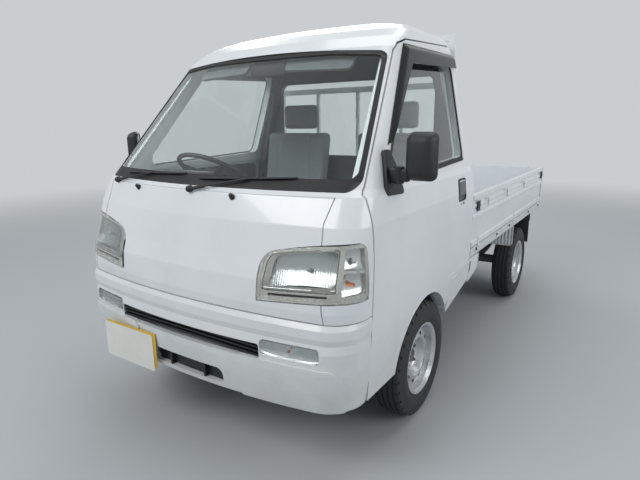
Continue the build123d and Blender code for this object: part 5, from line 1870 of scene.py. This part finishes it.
@dataclass
class Cabin:
    """What shows through the glass: seats, steering wheel, instruments, mirror and sun visors.

    Attributes:
        wheel_centre: The steering wheel's centre.
        column_lean: The column's lean from upright, in degrees.
        wheel_radius: The steering wheel's radius.
        hub_profile: Its hub's profile.
        seat_x: The left seat's middle.
        seat_inset: How far a cushion's pad lies inside the CAD's block.
        cushion_half: Half a cushion's width.
        back_half: Half a seat back's width.
        rest_half: Half a head rest's width.
        channel_xs: Where sewn channels cross a cushion, from its middle.
        back_channel_xs: Where they cross a seat back.
        back_bend: How far the seat back's foot comes forwards, for each metre below the bend.
        back_bend_z: Where it starts to bend.
        voxel: The pads' mesh size.
        pressure: The pressure that swells a pad.
        swell_frames: For how many frames it swells.
        channel_half: Half a sewn channel's width.
        channel_depth: Its depth.
        hood: The binnacle's corners, from the steering wheel's middle across the truck.
        vent_xs: The dashboard vents' middles.
        slat: A vent's lowest slat, from the vent's middle across the truck.
        slat_pitch: The slats' spacing.
        slat_count: How many a vent has.
        glovebox: The glovebox lid's corners.
        radio_blank: The radio slot's cover.
        mirror_shell: The inner mirror's corners, from its middle.
        sun_visor: A sun visor's corners, as x, z and radius.
    """

    wheel_centre: Point = (-0.345, -1.120, 1.085)
    column_lean: float = 32.0
    wheel_radius: float = 0.182
    hub_profile: Sequence[Flat] = (
        (-0.040, 0.0), (-0.040, 0.030), (-0.020, 0.046), (-0.008, 0.050), (0.0, 0.046), (0.004, 0.034),
        (0.005, 0.0))
    seat_x: float = 0.318
    seat_inset: float = 0.012
    cushion_half: float = 0.235
    back_half: float = 0.218
    rest_half: float = 0.120
    channel_xs: Sequence[float] = (-0.12, 0.12)
    back_channel_xs: Sequence[float] = (-0.11, 0.11)
    back_bend: float = 0.17
    back_bend_z: float = 1.22
    voxel: float = 8 * MM
    pressure: float = 4.0
    swell_frames: int = 20
    channel_half: float = 0.010
    channel_depth: float = 5 * MM
    hood: tuple[Point, Point] = ((-0.165, -1.345, 1.040), (0.165, -1.235, 1.108))
    vent_xs: Sequence[float] = (-0.58, -0.06, 0.06, 0.58)
    slat: tuple[Point, Point] = ((-0.045, -1.222, 0.990), (0.045, -1.209, 0.994))
    slat_pitch: float = 0.011
    slat_count: int = 5
    glovebox: tuple[Point, Point] = ((0.130, -1.216, 0.850), (0.520, -1.206, 0.960))
    radio_blank: tuple[Point, Point] = ((-0.090, -1.216, 0.880), (0.090, -1.204, 0.945))
    mirror_shell: tuple[Point, Point] = ((-0.105, -0.012, -0.030), (0.105, 0.008, 0.030))
    sun_visor: Sequence[Corner] = (
        (0.110, 1.545, 0.02), (0.440, 1.535, 0.02), (0.430, 1.612, 0.02), (0.110, 1.620, 0.02))

    def swell(self, obj: Piece, cap: float) -> None:
        """Swell a block by cloth under pressure.

        Args:
            obj: The block.
            cap: The most that any point may move.
        """
        start = [point.co.copy() for point in obj.data.vertices]
        solo(obj)
        cloth = obj.modifiers.new("Cloth", "CLOTH")
        cloth.settings.use_pressure = True
        cloth.settings.uniform_pressure_force = self.pressure
        cloth.settings.effector_weights.gravity = 0.0
        cloth.point_cache.frame_end = self.swell_frames
        for step in range(1, self.swell_frames + 1):
            bpy.context.scene.frame_set(step)
        bpy.ops.object.modifier_apply(modifier=cloth.name)
        bpy.context.scene.frame_set(1)
        for point, old in zip(obj.data.vertices, start):
            move = point.co - old
            if move.length > cap:
                point.co = old + move.normalized() * cap

    def pad(self, low: Point, high: Point, cap: float, channels: Sequence[float]) -> Piece:
        """Swell a cushion out of a rounded block, and sew its channels.

        Args:
            low: The block's lowest corner.
            high: Its highest corner.
            cap: The most that any point may move as it swells.
            channels: Where sewn channels cross its width, from its middle.

        Returns:
            The cushion.
        """
        obj = block(low, high)
        modify(obj, "BEVEL", width=26 * MM, segments=3, limit_method="ANGLE", angle_limit=math.radians(30))
        modify(obj, "REMESH", mode="VOXEL", voxel_size=self.voxel, use_smooth_shade=True)
        self.swell(obj, cap)
        middle = (low[0] + high[0]) / 2
        for point in obj.data.vertices:
            for channel in channels:
                away = (point.co.x - middle - channel) / self.channel_half
                point.co += point.normal * (-self.channel_depth * math.exp(-away * away))
        modify(obj, "SUBSURF", levels=1, render_levels=1)
        solo(obj)
        bpy.ops.object.shade_smooth()
        return obj

    def seats(self) -> None:
        """Build the two seats' pads."""
        low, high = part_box("seat_cushions")
        back_low, back_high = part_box("seat_backs")
        x, inset, rear = self.seat_x, self.seat_inset, back_high.y
        half = self.cushion_half - inset
        base = self.pad((x - half, low.y + inset, low.z + 2 * MM), (x + half, high.y - inset, high.z - inset),
                        12 * MM, self.channel_xs)
        back = self.pad((x - self.back_half, rear - 0.098, back_low.z + 0.075),
                        (x + self.back_half, rear - 0.012, back_low.z + 0.575), 8 * MM, self.back_channel_xs)
        rest = self.pad((x - self.rest_half, rear - 0.052, back_high.z - 0.150),
                        (x + self.rest_half, rear - 0.006, back_high.z - 0.008), 4 * MM, ())
        slope, knee = self.back_bend, self.back_bend_z
        bend(back, lambda point: Vector((point.x, point.y - slope * max(knee - point.z, 0), point.z)))
        for name, piece, nodes, fill in (
                ("seat_cushion", base, ["seat_cushions"], 0.7), ("seat_back", back, ["seat_backs"], 0.7),
                ("head_rest", rest, [], 0.8)):
            twin = mirrored(piece)
            for side, obj, stands_for in (("left", piece, nodes), ("right", twin, [])):
                hand_over(obj, f"{name}_{side}", Stock.CLOTH, stands_for)

    def spoke(self, turn: float) -> Piece:
        """Build a spoke of the steering wheel, before the wheel is put in its place.

        Args:
            turn: Its direction in degrees.

        Returns:
            The spoke.
        """
        spoke = block((0.030, -0.014, -0.019), (self.wheel_radius - 0.004, 0.014, -0.009))
        with picked(spoke, lambda centre, normal: normal.x > 0.9):
            bpy.ops.transform.translate(value=(0, 0, 0.009))
            bpy.ops.transform.resize(value=(1, 0.8, 0.9), center_override=(self.wheel_radius, 0, -0.005))
        spoke.rotation_euler.z = math.radians(turn)
        return soften(settle(spoke), 3.5 * MM, 40, 3)

    def steering_wheel(self) -> None:
        """Build the steering wheel: a rim, three spokes and a padded hub."""
        radius, turns = self.wheel_radius, [2 * math.pi * step / 72 for step in range(72)]
        rim = tube([(radius * math.cos(turn), radius * math.sin(turn), 0) for turn in turns], 11.5 * MM,
                   closed=True)
        hub = lathe(self.hub_profile, (0, 0, 0), (0, 0, 1), 36)
        wheel = joined([rim, hub, *[self.spoke(turn) for turn in (90, 210, 330)]])
        wheel.matrix_world = (Matrix.Translation(self.wheel_centre)
                              @ Matrix.Rotation(math.radians(-self.column_lean), 4, "X"))
        hand_over(settle(wheel), "steering_wheel_rim_and_hub", Stock.BLACK, ["steering_wheel"],
                  "steering_wheel")

    def instruments(self) -> None:
        """Build the binnacle, the vents, the radio slot and the glovebox on the dashboard."""
        x = self.wheel_centre[0]
        hood = block(*shifted(self.hood, (x, 0, 0)))
        with picked(hood, lambda centre, normal: normal.z > 0.9):
            bpy.ops.transform.resize(value=(0.84, 0.75, 1), center_override=(x, -1.30, self.hood[1][2]))
        soften(hood, 16 * MM, 40, 4)
        slats = [block(*shifted(self.slat, (place, 0, step * self.slat_pitch)))
                 for place in self.vent_xs for step in range(self.slat_count)]
        hand_over(joined([hood, *[soften(slat, 1 * MM) for slat in slats]]), "instrument_hood_and_vents",
                  Stock.BLACK)
        glove = soften(block(*self.glovebox), 4 * MM, 40, 3)
        radio = soften(block(*self.radio_blank), 3 * MM, 40, 3)
        hand_over(joined([glove, radio]), "glovebox_and_radio_blank", Stock.GREY)

    def overhead(self) -> None:
        """Build the inner mirror and the two sun visors."""
        top = CAB.front(0.0, 1.555, -0.075)
        shell = soften(block(*shifted(self.mirror_shell, top)), 9 * MM, 40, 4)
        stalk = tube([tuple(CAB.front(0.0, 1.600, -0.030)), (0, top.y - 0.004, top.z + 0.045),
                      (0, top.y - 0.004, top.z)], 5 * MM, kind="NURBS", sides=2)
        hand_over(joined([shell, stalk]), "inner_mirror", Stock.BLACK)
        hand_over(pair(fitted(self.sun_visor, CAB.front, -42, 12, 5)), "sun_visors", Stock.GREY)

    def build(self) -> None:
        """Fit out the cab."""
        self.seats()
        self.steering_wheel()
        self.instruments()
        self.overhead()


@dataclass
class Wheels:
    """Four pressed steel wheels and their tyres.

    Profiles are (place outwards from the wheel's middle, radius).

    Attributes:
        tread_radius: The tyre's radius.
        steps: How many flats its turn has.
        groove: The grooves' depth.
        disc_profile: The steel wheel's closed profile: stepped lip, well and dished disc.
        hub_profile: The hub's profile.
        vent_count: How many vents the disc has.
        vent_circle: The radius that they lie on.
        vent_half: Half a vent's width and height.
        bolt_radius: The radius that the four wheel nuts lie on.
    """

    tread_radius: float = 0.267
    steps: int = 120
    groove: float = 0.006
    disc_profile: Sequence[Flat] = (
        (0.062, 0.1662), (0.0632, 0.164), (0.0625, 0.1612), (0.0595, 0.159), (0.0585, 0.156), (0.056, 0.153),
        (0.050, 0.1512), (0.048, 0.149), (0.030, 0.148), (0.024, 0.1465), (0.0235, 0.143), (0.027, 0.135),
        (0.030, 0.127), (0.0325, 0.120), (0.0345, 0.110), (0.0365, 0.102), (0.0372, 0.096), (0.0358, 0.090),
        (0.030, 0.0858), (0.020, 0.082), (0.008, 0.0775), (0.0, 0.0725), (-0.003, 0.068), (-0.004, 0.062),
        (-0.004, 0.038), (-0.0025, 0.034), (-0.006, 0.032), (-0.009, 0.034), (-0.009, 0.070), (0.002, 0.080),
        (0.026, 0.090), (0.032, 0.098), (0.028, 0.120), (0.015, 0.147), (-0.057, 0.147), (-0.062, 0.161),
        (-0.062, 0.166), (-0.057, 0.166), (-0.053, 0.1525), (0.053, 0.1525), (0.057, 0.166))
    hub_profile: Sequence[Flat] = (
        (-0.055, 0.0), (-0.055, 0.033), (0.008, 0.0318), (0.0095, 0.0300), (0.0090, 0.0275), (0.0050, 0.0265),
        (0.0035, 0.0240), (0.0035, 0.0))
    vent_count: int = 10
    vent_circle: float = 0.111
    vent_half: Flat = (0.0085, 0.0125)
    bolt_radius: float = 0.050

    def tyre(self, hand: int, centre: Vector) -> Piece:
        """Make a tyre with grooved ribs and notched shoulders.

        Args:
            hand: 1 for the left side, -1 for the right.
            centre: The wheel's centre.

        Returns:
            The tyre.
        """
        r, deep = self.tread_radius, self.groove
        half = [(0.0, r), (0.009, r), (0.010, r - deep), (0.016, r - deep), (0.017, r), (0.033, r - 0.0008),
                (0.034, r - deep), (0.040, r - deep), (0.041, r - 0.0015), (0.052, r - 0.003),
                (0.0585, r - 0.008), (0.0625, r - 0.018), (0.0640, r - 0.030), (0.0680, r - 0.042),
                (0.0715, 0.212), (0.0700, 0.196), (0.0665, 0.186), (0.0660, 0.183), (0.0640, 0.180),
                (0.0605, 0.170), (0.0590, 0.1655), (0.0560, 0.158)]
        profile = [*half, *[(-x, radius) for x, radius in reversed(half[1:])]]
        obj = lathe(profile, tuple(centre), (hand, 0, 0), self.steps, closed=True)
        step = 2 * math.pi / self.steps

        def notch(place: Vector, normal: Vector) -> bool:
            """Choose the shoulder faces that the cross grooves cut, every fourth flat.

            Args:
                place: The face's centre.
                normal: Its normal, which doesn't matter.

            Returns:
                True for a groove's face.
            """
            away = place - centre
            turn = int((math.atan2(away.z, away.y) + math.pi) / step)
            side = away.x * hand
            out = math.hypot(away.y, away.z)
            return 0.041 < abs(side) < 0.061 and out > r - 0.014 and (turn + (0 if side > 0 else 2)) % 4 == 0

        with picked(obj, notch):
            bpy.ops.mesh.inset(thickness=0.8 * MM, use_even_offset=True)
            bpy.ops.transform.shrink_fatten(value=-5 * MM)
        return smooth(obj, 30)

    def disc(self, hand: int, centre: Vector) -> Piece:
        """Press the steel wheel: its stepped lip, its well and its vented, dished disc.

        Args:
            hand: 1 for the left side, -1 for the right.
            centre: The wheel's centre.

        Returns:
            The wheel without its hub.
        """
        obj = lathe(self.disc_profile, tuple(centre), (hand, 0, 0), 96, closed=True)
        wide, tall = self.vent_half
        vent = rounded(oblong((-wide, -tall), (wide, tall), 0.008), 4)
        vents = [plate(vent, 0.05, Matrix.Translation(centre + Vector((hand * 0.028, 0, 0)))
                       @ Matrix.Rotation(2 * math.pi * (step + 0.5) / self.vent_count, 4, "X")
                       @ Matrix.Translation((0, 0, self.vent_circle)) @ Matrix.Rotation(math.pi / 2, 4, "Y"))
                 for step in range(self.vent_count)]
        carve(obj, joined(vents))
        return smooth(obj, 35)

    def hub(self, hand: int, centre: Vector) -> Piece:
        """Build the hub in the disc's middle, with its four nuts on their studs.

        Args:
            hand: 1 for the left side, -1 for the right.
            centre: The wheel's centre.

        Returns:
            The hub.
        """
        axis = (hand, 0, 0)
        parts = [lathe(self.hub_profile, tuple(centre), axis, 40)]
        for step in range(4):
            turn = math.radians(45 + 90 * step)
            foot = centre + self.bolt_radius * Vector((0, math.cos(turn), math.sin(turn)))
            nut = drum(0.0105, 0.013, tuple(foot + Vector((hand * 0.0025, 0, 0))), axis, 6)
            stud = drum(0.0055, 0.020, tuple(foot + Vector((hand * 0.004, 0, 0))), axis, 14, 0.0048)
            parts += [soften(nut, 1.4 * MM, 30), stud]
        return joined(parts)

    def build(self) -> None:
        """Make the wheels at their four places."""
        for place in ("front_left", "front_right", "rear_left", "rear_right"):
            hand = 1 if place.endswith("left") else -1
            low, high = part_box(f"tyre_{place}")
            centre, body = (low + high) / 2, f"wheel_{place}"
            hand_over(self.tyre(hand, centre), f"tyre_{place}_tread", Stock.TYRE, [f"tyre_{place}"], body)
            hand_over(self.disc(hand, centre), f"rim_{place}_disc", Stock.WHEEL, [f"rim_{place}"], body)
            hand_over(self.hub(hand, centre), f"rim_{place}_hub", Stock.IRON, (), body)


@dataclass
class Studio:
    """A pale floor, soft lamps and the photograph's camera.

    Attributes:
        floor_colour: The floor's colour near the truck.
        far_colour: The backdrop's colour, which the floor fades to.
        sky_colour: The colour of the light from all round.
        sky_strength: Its strength.
        near: Where the floor's fade starts.
        far: Where it ends.
        floor_radius: The floor's radius.
        camera_place: Where the photograph was taken from.
        yaw: The camera's heading, from +Y towards -X for a negative one, in degrees.
        pitch: Its tilt above the horizon.
        roll: Its roll.
        focal_px: Its focal length in pixels of the photograph.
        image_width: The photograph's width in pixels.
        sensor_mm: The sensor's width.
        lamps: Each lamp's name, place, aim, size and power in watts.
    """

    floor_colour: str = "#B4B8BA"
    far_colour: str = "#C9CDCF"
    sky_colour: str = "#DDE3E8"
    sky_strength: float = 0.46
    near: float = 3.6
    far: float = 10.0
    floor_radius: float = 60.0
    camera_place: Point = (1.478, -2.899, 1.317)
    yaw: float = -33.72
    pitch: float = -13.24
    roll: float = -0.6
    focal_px: float = 490.9
    image_width: float = 640.0
    sensor_mm: float = 36.0
    lamps: Sequence[tuple[str, Point, Point, Flat, float]] = (
        ("key_lamp", (-2.0, -6.0, 5.4), (0, -0.6, 0.8), (4.2, 3.0), 215),
        ("side_lamp", (6.0, -0.6, 3.4), (0, 0, 0.8), (4.0, 3.0), 110),
        ("top_lamp", (0.5, 1.5, 6.5), (0, 0.6, 0.5), (5.0, 5.0), 120),
        ("back_lamp", (-4.0, 5.0, 4.0), (0, 0.5, 0.7), (4.0, 3.0), 110))

    def floor(self) -> None:
        """Lay the floor, which fades into the backdrop's colour far out."""
        bpy.ops.mesh.primitive_circle_add(vertices=96, radius=self.floor_radius, fill_type="NGON")
        ground = bpy.context.object
        ground.name = "studio_floor"
        material, tree, shader = new_material("studio_paper")
        shader.inputs["Base Color"].default_value = linear(self.floor_colour)
        shader.inputs["Roughness"].default_value = 0.9
        place = add_node(tree, "ShaderNodeTexCoord").outputs["Object"]
        away = add_node(tree, "ShaderNodeVectorMath", {0: place}, operation="LENGTH").outputs["Value"]
        share = add_node(tree, "ShaderNodeMapRange",
                         {"Value": away, "From Min": self.near, "From Max": self.far},
                         interpolation_type="SMOOTHSTEP").outputs["Result"]
        glow = add_node(tree, "ShaderNodeEmission", {"Color": linear(self.far_colour)})
        both = add_node(tree, "ShaderNodeMixShader", {0: share, 1: shader.outputs["BSDF"],
                                                      2: glow.outputs["Emission"]})
        tree.links.new(both.outputs["Shader"], tree.nodes["Material Output"].inputs["Surface"])
        ground.data.materials.append(material)

    def world(self) -> None:
        """Light from all round, and show the backdrop's colour to the camera."""
        world = bpy.data.worlds.new("studio_world")
        bpy.context.scene.world = world
        world.use_nodes = True
        tree = world.node_tree
        light = tree.nodes["Background"]
        light.inputs["Color"].default_value = linear(self.sky_colour)
        light.inputs["Strength"].default_value = self.sky_strength
        seen = add_node(tree, "ShaderNodeBackground", {"Color": linear(self.far_colour), "Strength": 1.0})
        path = add_node(tree, "ShaderNodeLightPath").outputs
        straight = add_node(tree, "ShaderNodeMath",
                            {0: path["Is Camera Ray"], 1: path["Is Transmission Ray"]},
                            operation="MAXIMUM").outputs[0]
        clear = add_node(tree, "ShaderNodeMath", {0: straight, 1: path["Is Glossy Ray"]},
                         operation="MAXIMUM").outputs[0]
        both = add_node(tree, "ShaderNodeMixShader", {0: clear, 1: light.outputs["Background"],
                                                      2: seen.outputs["Background"]})
        tree.links.new(both.outputs["Shader"], tree.nodes["World Output"].inputs["Surface"])

    def lamp(self, name: str, place: Point, aim: Point, size: Flat, power: float) -> None:
        """Hang a soft rectangular lamp.

        Args:
            name: The lamp's name.
            place: Where it hangs.
            aim: What it points at.
            size: Its width and height.
            power: Its power in watts.
        """
        bpy.ops.object.light_add(type="AREA", location=place)
        lamp = bpy.context.object
        lamp.name = name
        lamp.data.shape = "RECTANGLE"
        lamp.data.size, lamp.data.size_y = size
        lamp.data.energy = power
        lamp.rotation_euler = (Vector(aim) - Vector(place)).to_track_quat("-Z", "Y").to_euler()

    def camera(self) -> None:
        """Stand the camera where the photograph was taken."""
        bpy.ops.object.camera_add(location=self.camera_place)
        camera = bpy.context.object
        turn = (Matrix.Rotation(math.radians(-self.yaw), 3, "Z")
                @ Matrix.Rotation(math.radians(90 + self.pitch), 3, "X")
                @ Matrix.Rotation(math.radians(self.roll), 3, "Z"))
        camera.rotation_mode = "QUATERNION"
        camera.rotation_quaternion = turn.to_quaternion()
        camera.data.sensor_width = self.sensor_mm
        camera.data.lens = self.sensor_mm * self.focal_px / self.image_width
        bpy.context.scene.camera = camera

    def build(self) -> None:
        """Set up the floor, the lamps and the camera."""
        self.floor()
        self.world()
        for row in self.lamps:
            self.lamp(*row)
        self.camera()
        bpy.context.scene.view_settings.view_transform = "Standard"


def main() -> None:
    """Build the truck's looks, sub-assembly by sub-assembly."""
    logging.basicConfig(level=logging.INFO, format="%(message)s")
    for assembly in (Panels, Screen, Lamps, RearLamps, FrontFittings, Mirrors, DoorTrim, BedTrim, Cabin,
                     Wheels, Studio):
        assembly().build()


if __name__ == "__main__":
    main()
